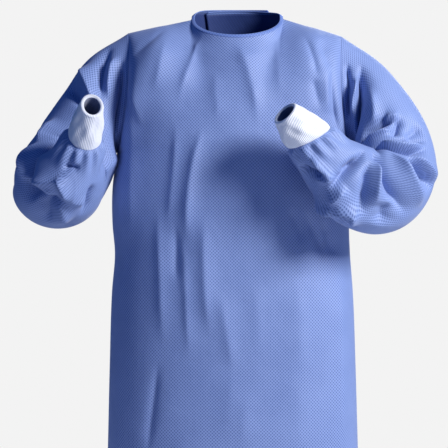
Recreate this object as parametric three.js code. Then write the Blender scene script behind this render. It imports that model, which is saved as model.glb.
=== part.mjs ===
// Surgical gown standing in the shape of a wearer with both forearms raised.
// Frame: X to the viewer's right, the front faces -Y, Z up, millimetres.
// The origin is the middle of the neck at the shoulders, where the gown hangs on its wearer.
import * as THREE from 'three';

// Driving dimensions
const WALL = 2;
const CUFF_WALL = 3;
const SEAM_GAP = 0.3;
const HEM = -1210;
const UNDERARM = -285;
const BINDING_WIDTH = 7;
const BINDING_WALL = 2.6;

// Grid of the pieces
const FRONT_COLUMNS = 32;
const LOW_ROWS = 10;
const HIGH_ROWS = 16;
const SLEEVE_COLUMNS = 2 * HIGH_ROWS;
const SLEEVE_ROWS = 28;
const GATHER_ROWS = 4;
const CUFF_ROWS = 4;

const table = (names, rows) => {
  const columns = {};
  names.split(' ').forEach((name, i) => {
    columns[name] = rows.map((row) => row[i]);
  });
  return columns;
};

// Cloth of the body: how far it reaches at each height
const BODY = table('z left right front back', [
  [HEM, -276, 274, 168, 166],
  [-918, -269, 264, 160, 152],
  [-740, -265, 259, 154, 136],
  [-580, -260, 253, 149, 121],
  [-499, -254, 247, 147, 115],
  [-440, -259, 245, 146, 118],
  [-362, -259, 246, 144, 126],
  [UNDERARM, -249, 246, 140, 128],
]);
const SHOULDER_LEFT = [-226, 6, -31];
const SHOULDER_RIGHT = [230, 6, -38];
const NECK_LEFT = [-84, -2, 0];
const NECK_RIGHT = [98, -2, 2];
const NECK_FRONT = [4, -80, -44];
const NECK_BACK = [6, 60, 26];
const NECK_SHARE = 0.4375;
const NECK_TILT_MIDDLE = 25;
const NECK_TILT_SIDE = 65;
const ARMHOLE_FRONT = 66;
const ARMHOLE_BACK = 74;
const ARMHOLE_SCOOP = 14;
const SEAM_FADE = 0.22;
const SIDE_ROUNDING = 0.55;
const FLATTENING = 0.05;
const NECK_POWER_FRONT = 0.9;
const NECK_POWER_BACK = 0.55;
const ALL_OF_NECK = 1.8;

// Sections of the sleeves from the armhole to the cuff: centre and half sizes
const SLEEVE_RIGHT = table('x y z tall wide', [
  [229, 2, -158, 84, 84],
  [268, -4, -186, 92, 88],
  [304, -24, -228, 90, 86],
  [331, -58, -284, 88, 86],
  [328, -99, -338, 93, 88],
  [300, -133, -367, 94, 84],
  [254, -158, -365, 88, 76],
  [210, -180, -332, 73, 62],
  [149, -210, -266, 45, 35],
]);
const SLEEVE_LEFT = table('x y z tall wide', [
  [-228, 2, -158, 84, 84],
  [-264, -2, -184, 92, 88],
  [-300, -10, -234, 92, 90],
  [-334, -28, -290, 96, 92],
  [-362, -62, -336, 98, 97],
  [-368, -108, -360, 90, 97],
  [-348, -154, -362, 80, 86],
  [-320, -192, -324, 62, 64],
  [-300, -215, -264, 42, 33],
]);

// How the sleeve leaves the armhole, bends at the elbow and lies against the flank

// How a sleeve runs from its armhole into round sections, and how it keeps clear of itself
// at the elbow and of the body's flank under the arm
const SLEEVE_BLEND = 120;
const SLANT = 250;
const STATION_EASE = 1.25;
const LINE_STEPS = 400;
const EASING = 500;
const CROOK = 0.86;
const CROOK_POWER = 6;
const ARMPIT_EASE = 1.6;
const REST = 5;
const REST_SOFT = 6;
const REST_START = 10;
const REST_HEIGHT = 60;

// Gathers into the cuff: rows of the grid start at GATHER_ZONE from it, waves at GATHER_REACH
const GATHER_ZONE = 44;
const GATHER_REACH = 42;
const GATHER_FULL = 12;
const GATHER_SEWN = 10;
const GATHERS = 8;
const GATHER_DEPTH = 3.6;

// Creases: millimetres of cloth for a degree round a sleeve, the share of a crease's length
// that it runs out past its ends, and how far it stays from a sleeve's two seams. Where the
// crook of the arm crowds the rings below CALM of their distance, it gets shallower
const GIRTH_PER_DEGREE = 1.25;
const RUN_OUT = 0.15;
const FADE = 0.45;
const SEAM_CLEAR = 24;
const CALM = 0.5;
const CALM_STEP = 2;

// Knit cuffs: rim centre and half sizes, drawn in between
const CUFF_WAIST = 3;
const CUFF_RIGHT = { rim: [95, -245, -221], tall: 34, wide: 21 };
const CUFF_LEFT = { rim: [-281, -262, -212], tall: 33, wide: 20 };

// Creases of the front from (a0, b0) to (a1, b1), which are x and z in mm. Each flank runs out
// to the right or left hand of that walk; a negative depth is a trough
const CREASES_FRONT = table('a0 b0 a1 b1 bow right left soft depth', [
  [-64, -44, -112, -168, 4, 9, 24, 3, 8],
  [2, -48, 48, -218, -5, 14, 36, 5, 10],
  [-150, -30, -222, -94, 0, 8, 8, 3, -5],
  [-226, -92, -192, -226, 6, 7, 30, 4, 8],
  [-146, -60, -162, -156, 0, 8, 18, 3, 4],
  [150, -50, 172, -130, -3, 8, 10, 3, -7],
  [163, -138, 176, -194, 0, 8, 9, 3, -5],
  [182, -55, 203, -114, 0, 10, 12, 5, -6],
  [205, -120, 216, -240, 4, 8, 8, 3, -10],
  [192, -124, 192, -204, 0, 10, 10, 5, 5],
  [88, -50, 96, -170, 0, 14, 16, 6, 4],
  [-40, -130, -34, -220, 0, 12, 14, 5, 3],
  [-120, -246, -136, -424, -3, 7, 16, 2, 5],
  [-70, -258, -98, -452, 7, 13, 16, 3, 12],
  [-157, -430, -148, -664, 0, 8, 14, 3, 6],
  [-120, -450, -118, -548, 0, 9, 8, 3, -6],
  [-62, -440, -52, -652, 4, 17, 26, 4, 9],
  [-28, -590, -4, -730, 0, 17, 22, 5, 6],
  [-5, -740, -14, -866, 0, 14, 18, 5, 4],
  [22, -786, 18, -884, 0, 10, 14, 4, 4],
  [-104, -486, -94, -694, 0, 8, 14, 3, 5],
  [-158, -738, -178, -898, 0, 7, 7, 2, -6],
  [218, -536, 223, -900, 0, 26, 14, 4, 7],
  [131, -556, 134, -740, 0, 24, 16, 4, 6],
  [128, -756, 133, -900, 0, 22, 16, 5, 3],
  [116, -410, 142, -474, 0, 8, 8, 3, -5],
  [150, -422, 189, -508, 0, 8, 9, 3, -8],
  [184, -436, 208, -504, 0, 8, 8, 3, -6],
  [-213, -214, -217, -456, 0, 24, 12, 5, 6],
  [40, -560, 52, -700, 0, 20, 20, 8, 3],
  [30, -900, 36, -1196, 0, 24, 30, 8, 7],
  [-104, -900, -116, -1196, 0, 22, 28, 8, 7],
  [-208, -930, -214, -1196, 0, 20, 20, 8, -7],
  [112, -910, 118, -1196, 0, 22, 22, 8, -7],
  [206, -930, 212, -1196, 0, 22, 22, 8, 7],
]);

// Creases of the back, in the same way
const CREASES_BACK = table('a0 b0 a1 b1 bow right left soft depth', [
  [-150, -84, -122, -290, 0, 16, 20, 5, -6],
  [152, -80, 126, -300, 0, 18, 16, 5, -6],
  [-196, -120, -182, -260, 0, 10, 16, 4, 6],
  [196, -110, 186, -270, 0, 14, 10, 4, 6],
  [-176, -300, -96, -462, 8, 14, 20, 4, -7],
  [172, -306, 98, -462, -8, 18, 14, 4, -7],
  [-60, -290, -38, -458, 0, 14, 18, 5, 5],
  [72, -280, 52, -462, 0, 16, 14, 5, 5],
  [-60, -520, -150, -760, 10, 20, 16, 5, 7],
  [66, -520, 150, -760, -10, 16, 22, 5, 7],
  [-190, -540, -206, -760, 0, 16, 16, 5, -5],
  [196, -560, 210, -780, 0, 18, 14, 5, -6],
  [-150, -780, -170, -1196, 0, 26, 20, 8, 8],
  [-62, -800, -72, -1196, 0, 22, 26, 8, -8],
  [110, -800, 116, -1196, 0, 26, 20, 8, 8],
  [188, -780, 198, -1196, 0, 20, 24, 8, -7],
]);

// Creases of the sleeves: a in mm along the arm, b in degrees round it, 0 in front and 90 over the top
const CREASES_RIGHT = table('a0 b0 a1 b1 bow right left soft depth', [
  [18, 32, 24, 6, 0, 12, 5, 3, -8],
  [50, 36, 54, -34, -5, 6, 20, 4, -18],
  [42, 22, 28, -16, 0, 8, 12, 4, 10],
  [10, -24, 22, 8, 0, 7, 7, 3, -10],
  [150, -36, 172, 20, 0, 7, 16, 3, -16],
  [202, -20, 196, 16, 0, 9, 9, 3, 8],
  [156, 12, 172, 30, -4, 10, 10, 4, 6],
  [168, 30, 214, 16, 0, 7, 12, 3, -10],
  [272, -14, 212, 60, -3, 6, 12, 3, -16],
  [300, -6, 232, 60, 3, 7, 8, 3, -14],
  [286, -2, 222, 58, 0, 7, 7, 3, 10],
  [272, 50, 254, 106, -3, 22, 5, 2, -16],
  [260, 50, 246, 106, -3, 6, 24, 3, 13],
  [380, 26, 304, 112, -5, 9, 22, 4, -18],
  [296, 36, 284, 110, 0, 16, 14, 5, 13],
  [386, 56, 360, 124, 0, 20, 10, 3, -18],
  [372, 40, 348, 104, 0, 12, 12, 5, 10],
  [410, 36, 418, 126, 0, 10, 7, 3, -14],
  [418, 54, 424, 98, 0, 7, 7, 3, -8],
  [400, 114, 400, 146, 0, 12, 12, 5, 10],
  [472, 128, 426, 118, 0, 9, 9, 3, 11],
  [464, 166, 438, 128, 0, 14, 6, 3, -16],
  [440, 150, 426, 118, 0, 9, 9, 4, 8],
  [404, 180, 366, 126, 0, 14, 16, 3, 14],
  [376, 162, 356, 146, 0, 8, 14, 3, -13],
  [366, 126, 356, 150, 0, 9, 9, 3, 11],
  [328, 102, 328, 134, 0, 14, 14, 5, -10],
  [210, 36, 188, 62, 0, 14, 14, 5, -8],
  [80, 20, 148, -2, 0, 18, 14, 6, 6],
  [120, 150, 226, 130, 0, 20, 20, 7, -11],
  [190, 210, 280, 170, 0, 20, 20, 7, -11],
  [312, 190, 378, 220, 0, 18, 18, 7, -11],
  [56, 120, 66, 190, 0, 18, 18, 7, -11],
  [430, 210, 440, 300, 0, 13, 13, 5, -10],
]);
const CREASES_LEFT = table('a0 b0 a1 b1 bow right left soft depth', [
  [78, 66, 88, 14, 3, 26, 18, 3, 16],
  [114, 70, 116, 26, 0, 16, 6, 3, -13],
  [38, 66, 66, 14, 0, 10, 12, 4, -13],
  [30, 42, 50, 8, 0, 8, 8, 3, 10],
  [18, 30, 24, -38, 0, 10, 9, 4, -18],
  [178, 50, 262, 52, 0, 16, 8, 3, 10],
  [278, 54, 406, 154, -3, 16, 12, 3, 14],
  [338, 66, 372, 182, -9, 14, 24, 4, -22],
  [408, 150, 372, 182, 0, 26, 12, 3, 18],
  [374, 180, 378, 212, 0, 20, 10, 4, 10],
  [430, 146, 434, 180, 0, 9, 8, 3, -11],
  [366, 168, 342, 200, 0, 12, 14, 5, 11],
  [400, 218, 356, 218, 0, 14, 10, 4, -11],
  [344, 74, 348, 126, 0, 14, 8, 4, -13],
  [334, 100, 336, 138, 0, 12, 8, 4, -10],
  [356, 146, 334, 178, 0, 14, 14, 6, -10],
  [372, 150, 344, 150, 0, 14, 12, 5, 8],
  [136, 130, 232, 118, 0, 20, 20, 7, -11],
  [180, 200, 270, 176, 0, 20, 20, 7, -11],
  [56, 130, 68, 200, 0, 18, 18, 7, -11],
  [420, 240, 428, 330, 0, 14, 14, 6, -10],
]);

// Laps, neck tab and waist tie at the back
const LAP = 0.22;
const LAP_OFFSET = 3;
const TAB = { from: -12, to: 46, low: -34, high: -8, offset: 2.4, wall: 1.6 };
const TIE = {
  height: -490, wide: 24, wall: 1.6, near: 0.06, far: 0.84,
  reach: 226, turn: 18, drop: 180, spread: 16,
};
const TIE_SEAT = 2.1;
const TIE_SEAT_REACH = 40;
const TIE_OFFSET_LEFT = 3.1;
const TIE_OFFSET_RIGHT = 5.1;
const KNOT = { wide: 18, high: 32, deep: 7, offset: 9.8, rings: 7, sides: 12, square: 0.6 };

const BLUE = '#7d97cb';
const BINDING_BLUE = '#6c88c0';
const KNIT_WHITE = '#e4e9fb';

const HALVINGS = 24;
const SLOPE_STEP = 0.01;

const radians = (degrees) => (degrees * Math.PI) / 180;

const clamp = (t) => Math.min(1, Math.max(0, t));

const smooth = (t) => {
  const c = clamp(t);
  return c * c * (3 - 2 * c);
};

const mix = (a, b, t) => a + (b - a) * t;

const slopes = (x, y) => y.map((value, i) => {
  if (i === 0) {
    return (y[1] - y[0]) / (x[1] - x[0]);
  }
  if (i === y.length - 1) {
    return (y[i] - y[i - 1]) / (x[i] - x[i - 1]);
  }
  const before = x[i] - x[i - 1];
  const after = x[i + 1] - x[i];
  const steep = before * before * y[i + 1] + (after * after - before * before) * value;
  return (steep - after * after * y[i - 1]) / (before * after * (before + after));
});

// Smooth cubic through the rows of a table
const along = (x, y, at) => {
  const m = slopes(x, y);
  const s = Math.min(x[x.length - 1], Math.max(x[0], at));
  let i = 0;
  while (i < x.length - 2 && s > x[i + 1]) {
    i += 1;
  }
  const h = x[i + 1] - x[i];
  const t = (s - x[i]) / h;
  const a = (1 + 2 * t) * (1 - t) ** 2;
  const b = t * (1 - t) ** 2;
  const c = t * t * (3 - 2 * t);
  const d = t * t * (t - 1);
  return a * y[i] + b * h * m[i] + c * y[i + 1] + d * h * m[i + 1];
};

const pick = (side, left, right) => (side < 0 ? left : right);

// Height of all the creases of a table at the place (a, b) of the cloth
const creased = (creases, a, b, unit) => {
  let sum = 0;
  for (let i = 0; i < creases.depth.length; i += 1) {
    const a0 = creases.a0[i];
    const b0 = creases.b0[i] * unit;
    const da = creases.a1[i] - a0;
    const db = creases.b1[i] * unit - b0;
    const reach = Math.hypot(da, db);
    const round = 360 * unit;
    const middle = b0 + db / 2;
    const level = unit === 1 ? b : b - Math.round((b - middle) / round) * round;
    const t = ((a - a0) * da + (level - b0) * db) / (reach * reach);
    const off = ((a - a0) * db - (level - b0) * da) / reach - creases.bow[i] * 4 * t * (1 - t);
    const fade = smooth((t + RUN_OUT) / FADE) * smooth((1 + RUN_OUT - t) / FADE);
    const soft = creases.soft[i];
    const flank = mix(creases.left[i], creases.right[i], smooth(off / soft / 2 + 0.5));
    sum += creases.depth[i] * fade * Math.exp(-(Math.hypot(off, soft) - soft) / flank);
  }
  return sum;
};

const columnAngle = (p) => (Math.PI / 2) * mix(p, p ** 3, SIDE_ROUNDING);

// Direction out of the cloth and direction up to the neck, where turn is 0 at the middle
// and 90 degrees at the shoulder
const neckLean = (p, face) => {
  const q = Math.min(1, Math.abs(p) / NECK_SHARE);
  const turn = (q * Math.PI) / 2;
  const tilt = radians(mix(NECK_TILT_MIDDLE, NECK_TILT_SIDE, Math.sin(turn) ** 2));
  const out = new THREE.Vector3(Math.sign(p) * Math.sin(turn), face * Math.cos(turn), 0);
  const up = new THREE.Vector3(0, 0, 1);
  return {
    normal: out.clone().multiplyScalar(Math.cos(tilt)).addScaledVector(up, Math.sin(tilt)),
    rise: out.clone().multiplyScalar(-Math.sin(tilt)).addScaledVector(up, Math.cos(tilt)),
  };
};

// Upper edge of the body: the neckline in the middle, then the shoulder seam
const topEdge = (p, face) => {
  const q = Math.abs(p);
  const turn = (clamp(q / NECK_SHARE) * Math.PI) / 2;
  const middle = face < 0 ? NECK_FRONT : NECK_BACK;
  const side = pick(p, NECK_LEFT, NECK_RIGHT);
  const neck = new THREE.Vector3(
    mix(middle[0], side[0], Math.sin(turn)),
    mix(side[1], middle[1], Math.cos(turn)),
    mix(side[2], middle[2], Math.cos(turn) ** (face < 0 ? NECK_POWER_FRONT : NECK_POWER_BACK)),
  );
  neck.addScaledVector(neckLean(p, face).rise, -BINDING_WIDTH);
  const w = clamp((q - NECK_SHARE) / (1 - NECK_SHARE));
  return neck.lerp(new THREE.Vector3(...pick(p, SHOULDER_LEFT, SHOULDER_RIGHT)), w);
};

// Body cloth without creases: p runs from side seam to side seam,
// v 0 to 1 from hem to underarm and 1 to 2 from underarm to neck and shoulder
const body = (p, v, face) => {
  const a = columnAngle(p);
  const across = (Math.sin(a) + FLATTENING * Math.sin(3 * a)) / (1 - FLATTENING);
  const z = HEM + (UNDERARM - HEM) * clamp(v);
  const left = along(BODY.z, BODY.left, z);
  const right = along(BODY.z, BODY.right, z);
  const deep = along(BODY.z, face < 0 ? BODY.front : BODY.back, z);
  const middle = (left + right) / 2;
  const x = middle + ((right - left) / 2) * across;
  const y = face * deep * Math.cos(a);
  if (v <= 1) {
    return new THREE.Vector3(x, y, z);
  }
  const b = (v - 1) * (Math.PI / 2);
  const q = Math.abs(p);
  const top = topEdge(p, face);
  const edgeRise = Math.sin(b) ** 2;
  const edgeLow = Math.abs(pick(p, left, right));
  const edgeTop = Math.abs(pick(p, SHOULDER_LEFT, SHOULDER_RIGHT)[0]);
  const edge = mix(edgeLow, edgeTop, edgeRise) - ARMHOLE_SCOOP * Math.sin(2 * b);
  const nearNeck = smooth((0.75 - q) / 0.5);
  const nearArm = smooth((q - 0.62) / 0.38);
  const rise = mix(mix(Math.sin(b), v - 1, nearNeck), edgeRise, nearArm);
  const fall = mix(Math.cos(b), 1 - (v - 1) ** 1.7, nearNeck);
  const w = (v - 1) ** 3;
  const swell = mix(Math.sin(2 * b) ** 2, Math.sin(2 * b), nearArm);
  const bulge = (face < 0 ? ARMHOLE_FRONT : ARMHOLE_BACK) * swell * Math.sin(a) ** 2;
  return new THREE.Vector3(
    mix(middle * (1 - q) + edge * across, top.x, w),
    top.y + (y - top.y) * fall + face * bulge,
    UNDERARM + (top.z - UNDERARM) * rise,
  );
};

// Armhole edge, turn 0 at the front, 90 degrees at the shoulder, 270 under the arm
const armhole = (turn, side) => {
  const b = (Math.asin(Math.min(1, Math.max(-1, Math.sin(turn)))) + Math.PI / 2) / 2;
  return body(side, 1 + b / (Math.PI / 2), Math.cos(turn) >= 0 ? -1 : 1);
};

const armholeNormal = (turn, side) => {
  const lateral = 0.5 + 0.5 * Math.max(0, -Math.sin(turn));
  return new THREE.Vector3(side * lateral, -Math.cos(turn), Math.sin(turn)).normalize();
};

const gridNormals = (grid, wrap) => grid.map((row, i) => row.map((point, j) => {
  const up = grid[Math.min(i + 1, grid.length - 1)][j].clone();
  up.sub(grid[Math.max(i - 1, 0)][j]);
  const last = row.length - 1;
  const next = wrap ? (j + 1) % row.length : Math.min(j + 1, last);
  const prior = wrap ? (j + last) % row.length : Math.max(j - 1, 0);
  return row[next].clone().sub(row[prior]).cross(up).normalize();
}));

const cloth = (name, colour, roughness, positions, faces) => {
  const geometry = new THREE.BufferGeometry();
  geometry.setAttribute('position', new THREE.Float32BufferAttribute(positions, 3));
  geometry.setIndex(faces);
  geometry.computeVertexNormals();
  const material = new THREE.MeshStandardMaterial({ color: colour, roughness, metalness: 0 });
  const mesh = new THREE.Mesh(geometry, material);
  mesh.name = name;
  return mesh;
};

// Closed wall round a grid of points: half of the wall on each side, rims at the free edges.
// Columns run to the right and rows run up as seen from outside.
const wall = (name, colour, roughness, grid, normals, thick, wrap) => {
  const rows = grid.length;
  const columns = grid[0].length;
  const positions = [];
  [0.5, -0.5].forEach((share) => {
    grid.forEach((row, i) => row.forEach((point, j) => {
      const at = point.clone().addScaledVector(normals[i][j], share * thick);
      positions.push(at.x, at.y, at.z);
    }));
  });
  const inner = rows * columns;
  const faces = [];
  const quad = (a, b, c, d) => faces.push(a, b, c, a, c, d);
  const reach = wrap ? columns : columns - 1;
  for (let i = 0; i < rows - 1; i += 1) {
    for (let j = 0; j < reach; j += 1) {
      const k = (j + 1) % columns;
      const [a, b] = [i * columns + j, i * columns + k];
      const [c, d] = [b + columns, a + columns];
      quad(a, b, c, d);
      faces.push(inner + a, inner + c, inner + b, inner + a, inner + d, inner + c);
    }
  }
  const top = (rows - 1) * columns;
  for (let j = 0; j < reach; j += 1) {
    const k = (j + 1) % columns;
    quad(j, inner + j, inner + k, k);
    quad(top + j, top + k, inner + top + k, inner + top + j);
  }
  if (!wrap) {
    for (let i = 0; i < rows - 1; i += 1) {
      const a = i * columns;
      const b = a + columns - 1;
      quad(a, a + columns, inner + a + columns, inner + a);
      quad(b, inner + b, inner + b + columns, b + columns);
    }
  }
  return cloth(name, colour, roughness, positions, faces);
};

const bodyRows = () => {
  const rows = [];
  for (let i = 0; i < LOW_ROWS; i += 1) {
    rows.push(i / LOW_ROWS);
  }
  for (let i = 0; i <= HIGH_ROWS; i += 1) {
    rows.push(1 + i / HIGH_ROWS);
  }
  return rows;
};

// Moves the free edges of a panel back by half the seam gap
const trimmed = (grid) => {
  const rows = grid.length - 1;
  const columns = grid[0].length - 1;
  const shift = (i, j, k, l) => grid[k][l].clone().sub(grid[i][j]).setLength(SEAM_GAP / 2);
  return grid.map((row, i) => row.map((point, j) => {
    const at = point.clone();
    if (j === 0) {
      at.add(shift(i, 0, i, 1));
    }
    if (j === columns) {
      at.add(shift(i, columns, i, columns - 1));
    }
    if (i === rows) {
      at.add(shift(rows, j, rows - 1, j));
    }
    return at;
  }));
};

// How far the lapping edge of a back panel is moved out, or in, to clear the other one
const lapMove = (p, layer) => (
  layer * LAP_OFFSET * smooth((NECK_SHARE + layer * p) / (NECK_SHARE - LAP))
);

// Points of a body panel with its creases and laps
const panelGrid = (columns, face, creases, lap) => {
  const rows = bodyRows();
  const base = rows.map((v) => columns.map((p) => body(p, v, face)));
  const outward = gridNormals(base, false);
  outward.forEach((row) => row.forEach((normal) => normal.multiplyScalar(-face)));
  return base.map((row, i) => row.map((point, j) => {
    const p = columns[j];
    const seam = smooth((1 - Math.abs(p)) / SEAM_FADE) * smooth((2 - rows[i]) / SEAM_FADE);
    const fold = creased(creases, point.x, point.z, 1) * seam;
    const out = outward[i][j].clone();
    const lift = out.lerp(neckLean(p, face).normal, smooth((rows[i] - ALL_OF_NECK) / (2 - ALL_OF_NECK)));
    const raised = point.clone().addScaledVector(outward[i][j], fold);
    return raised.addScaledVector(lift, lap(p));
  }));
};

// One panel of the body between two column positions
const panel = (name, colour, columns, face, creases, lap) => {
  const rows = bodyRows();
  const grid = panelGrid(columns, face, creases, lap);
  const normals = gridNormals(grid, false);
  normals.forEach((row) => row.forEach((normal) => normal.multiplyScalar(-face)));
  const up = new THREE.Vector3(0, 0, 1);
  rows.forEach((v, i) => columns.forEach((p, j) => {
    const side = Math.sign(p);
    if (v === 2 && Math.abs(p) <= NECK_SHARE) {
      normals[i][j] = neckLean(p, face).normal;
    } else if (Math.abs(p) === 1 && v >= 1) {
      const turn = (v - 1) * Math.PI - Math.PI / 2;
      normals[i][j] = armholeNormal(face < 0 ? turn : Math.PI - turn, side);
    } else if (Math.abs(p) === 1) {
      normals[i][j] = new THREE.Vector3(side, 0, 0);
    } else if (v === 2) {
      const seam = topEdge(side, face).sub(topEdge(side * NECK_SHARE, face)).normalize();
      normals[i][j] = up.clone().addScaledVector(seam, -up.dot(seam)).normalize();
    }
  }));
  const cut = trimmed(grid);
  if (face > 0) {
    cut.forEach((row) => row.reverse());
    normals.forEach((row) => row.reverse());
  }
  return wall(name, colour, 0.85, cut, normals, WALL, false);
};

// Line through the section centres, its bend evened out by averaging neighbours,
// with a front direction carried along it without twisting
const sleeveLine = (sections) => {
  const points = sections.x.map((x, i) => new THREE.Vector3(x, sections.y[i], sections.z[i]));
  const chord = [0];
  for (let i = 1; i < points.length; i += 1) {
    chord.push(chord[i - 1] + points[i].distanceTo(points[i - 1]));
  }
  const total = chord[chord.length - 1];
  let line = [];
  for (let i = 0; i <= LINE_STEPS; i += 1) {
    const s = (total * i) / LINE_STEPS;
    line.push(new THREE.Vector3(
      along(chord, sections.x, s),
      along(chord, sections.y, s),
      along(chord, sections.z, s),
    ));
  }
  for (let round = 0; round < EASING; round += 1) {
    line = line.map((point, i) => {
      if (i === 0 || i === LINE_STEPS) {
        return point;
      }
      return line[i - 1].clone().add(line[i + 1]).multiplyScalar(0.25).addScaledVector(point, 0.5);
    });
  }
  const at = [0];
  for (let i = 1; i <= LINE_STEPS; i += 1) {
    at.push(at[i - 1] + line[i].distanceTo(line[i - 1]));
  }
  const around = (i) => [Math.max(i - 1, 0), Math.min(i + 1, LINE_STEPS)];
  const knots = chord.map((s) => at[Math.round((s / total) * LINE_STEPS)]);
  const tangents = line.map((point, i) => {
    const [prior, next] = around(i);
    return line[next].clone().sub(line[prior]).normalize();
  });
  const bends = line.map((point, i) => {
    const [prior, next] = around(i);
    return tangents[next].clone().sub(tangents[prior]).divideScalar(at[next] - at[prior]);
  });
  const front = new THREE.Vector3(0, -1, 0);
  front.addScaledVector(tangents[0], -front.dot(tangents[0])).normalize();
  const fronts = [front];
  for (let i = 1; i <= LINE_STEPS; i += 1) {
    const carried = fronts[i - 1].clone();
    carried.addScaledVector(tangents[i], -carried.dot(tangents[i])).normalize();
    fronts.push(carried);
  }
  return { line, at, tangents, bends, fronts, knots, length: at[LINE_STEPS] };
};

// Centre, tangent, front and top direction and bend of the arm at the distance s
const armFrame = (arm, s, side) => {
  let i = 0;
  while (i < arm.at.length - 2 && s > arm.at[i + 1]) {
    i += 1;
  }
  const t = clamp((s - arm.at[i]) / (arm.at[i + 1] - arm.at[i]));
  const centre = arm.line[i].clone().lerp(arm.line[i + 1], t);
  const tangent = arm.tangents[i].clone().lerp(arm.tangents[i + 1], t).normalize();
  const front = arm.fronts[i].clone().lerp(arm.fronts[i + 1], t);
  front.addScaledVector(tangent, -front.dot(tangent)).normalize();
  const top = tangent.clone().cross(front).multiplyScalar(-side);
  const bend = arm.bends[i].clone().lerp(arm.bends[i + 1], t);
  return { centre, tangent, front, top, bend };
};

// Distance from the arm's centre line to an oval section in the direction out
const ovalReach = (out, tangent, tall, wide) => {
  const up = new THREE.Vector3(0, 0, 1).addScaledVector(tangent, -tangent.z).normalize();
  const m = out.dot(up) ** 2;
  return 1 / Math.sqrt(m / tall ** 2 + (1 - m) / wide ** 2);
};

// Holds the inside of a bend back, so that its cloth doesn't cross itself
const heldBack = (rel, bend) => {
  const inward = rel.dot(bend);
  const kept = inward / (1 + (Math.max(inward, 0) / CROOK) ** CROOK_POWER) ** (1 / CROOK_POWER);
  return rel.clone().addScaledVector(bend, (kept - inward) / (bend.lengthSq() + 1e-9));
};

// Where a sleeve would reach into the flank of the body, it lies against it
const rested = (point, side, s) => {
  const z = Math.min(UNDERARM, Math.max(HEM, point.z));
  const left = along(BODY.z, BODY.left, z);
  const right = along(BODY.z, BODY.right, z);
  const deep = along(BODY.z, point.y < 0 ? BODY.front : BODY.back, z);
  const share = Math.sqrt(clamp(1 - (point.y / (deep + REST)) ** 2));
  if (share === 0) {
    return point;
  }
  const flank = (left + right) / 2 + side * ((right - left) / 2 + REST) * share;
  const short = (flank - point.x) * side;
  const push = (short + Math.hypot(short, REST_SOFT)) / 2;
  const low = smooth((UNDERARM + REST_HEIGHT - point.z) / REST_HEIGHT);
  return point.setX(point.x + side * push * smooth(s / REST_START) * low);
};

const sleevePoint = (arm, sections, side, s, turn) => {
  const { centre, tangent, front, top, bend } = armFrame(arm, s, side);
  const out = front.clone().multiplyScalar(Math.cos(turn)).addScaledVector(top, Math.sin(turn));
  const tall = along(arm.knots, sections.tall, s);
  const wide = along(arm.knots, sections.wide, s);
  const tube = out.clone().multiplyScalar(ovalReach(out, tangent, tall, wide));
  const start = armFrame(arm, 0, side);
  const first = armhole(turn, side).sub(start.centre);
  const rel = front.clone().multiplyScalar(first.dot(start.front));
  rel.addScaledVector(top, first.dot(start.top)).lerp(tube, smooth(s / SLEEVE_BLEND));
  rel.addScaledVector(tangent, first.dot(start.tangent) * (1 - smooth(s / SLANT)));
  const point = heldBack(rel, bend).add(centre);
  return { point: rested(point, side, s), out };
};

const sleeveTurns = () => {
  const turns = [];
  for (let j = 0; j < SLEEVE_COLUMNS; j += 1) {
    turns.push((j / SLEEVE_COLUMNS) * 2 * Math.PI);
  }
  return turns;
};

const sleeveCloth = (name, colour, sections, side, creases) => {
  const arm = sleeveLine(sections);
  const stations = [];
  for (let i = 0; i < SLEEVE_ROWS; i += 1) {
    stations.push((arm.length - GATHER_ZONE) * (i / SLEEVE_ROWS) ** STATION_EASE);
  }
  for (let i = 0; i <= GATHER_ROWS; i += 1) {
    stations.push(arm.length - GATHER_ZONE + (GATHER_ZONE * i) / GATHER_ROWS);
  }
  const turns = sleeveTurns();
  const grid = stations.map((s) => turns.map((turn) => {
    const { point, out } = sleevePoint(arm, sections, side, s, turn);
    const left = arm.length - s;
    const ends = smooth(s / SEAM_CLEAR) * smooth(left / SEAM_CLEAR);
    const loose = 1 - smooth((left - GATHER_FULL) / (GATHER_REACH - GATHER_FULL));
    const wave = smooth(left / GATHER_SEWN) * loose * Math.cos(GATHERS * turn);
    const after = sleevePoint(arm, sections, side, s + CALM_STEP, turn).point;
    const before = sleevePoint(arm, sections, side, Math.max(s - CALM_STEP, 0), turn).point;
    const calm = smooth(after.distanceTo(before) / (2 * CALM_STEP * CALM));
    const degrees = (turn * 180) / Math.PI;
    const fold = creased(creases, s, degrees * GIRTH_PER_DEGREE, GIRTH_PER_DEGREE);
    return point.addScaledVector(out, fold * ends * calm + GATHER_DEPTH * wave);
  }));
  const normals = gridNormals(grid, true);
  normals.forEach((row) => row.forEach((normal) => normal.multiplyScalar(-side)));
  turns.forEach((turn, j) => {
    normals[0][j] = armholeNormal(turn, side);
    normals[grid.length - 1][j] = sleevePoint(arm, sections, side, arm.length, turn).out;
    const under = Math.max(0, -Math.sin(turn)) ** 4;
    const gap = SEAM_GAP / 2 + ARMPIT_EASE * under;
    grid[0][j].add(grid[1][j].clone().sub(grid[0][j]).setLength(gap));
  });
  if (side > 0) {
    grid.forEach((row) => row.reverse());
    normals.forEach((row) => row.reverse());
  }
  return wall(name, colour, 0.85, grid, normals, WALL, true);
};

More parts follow.
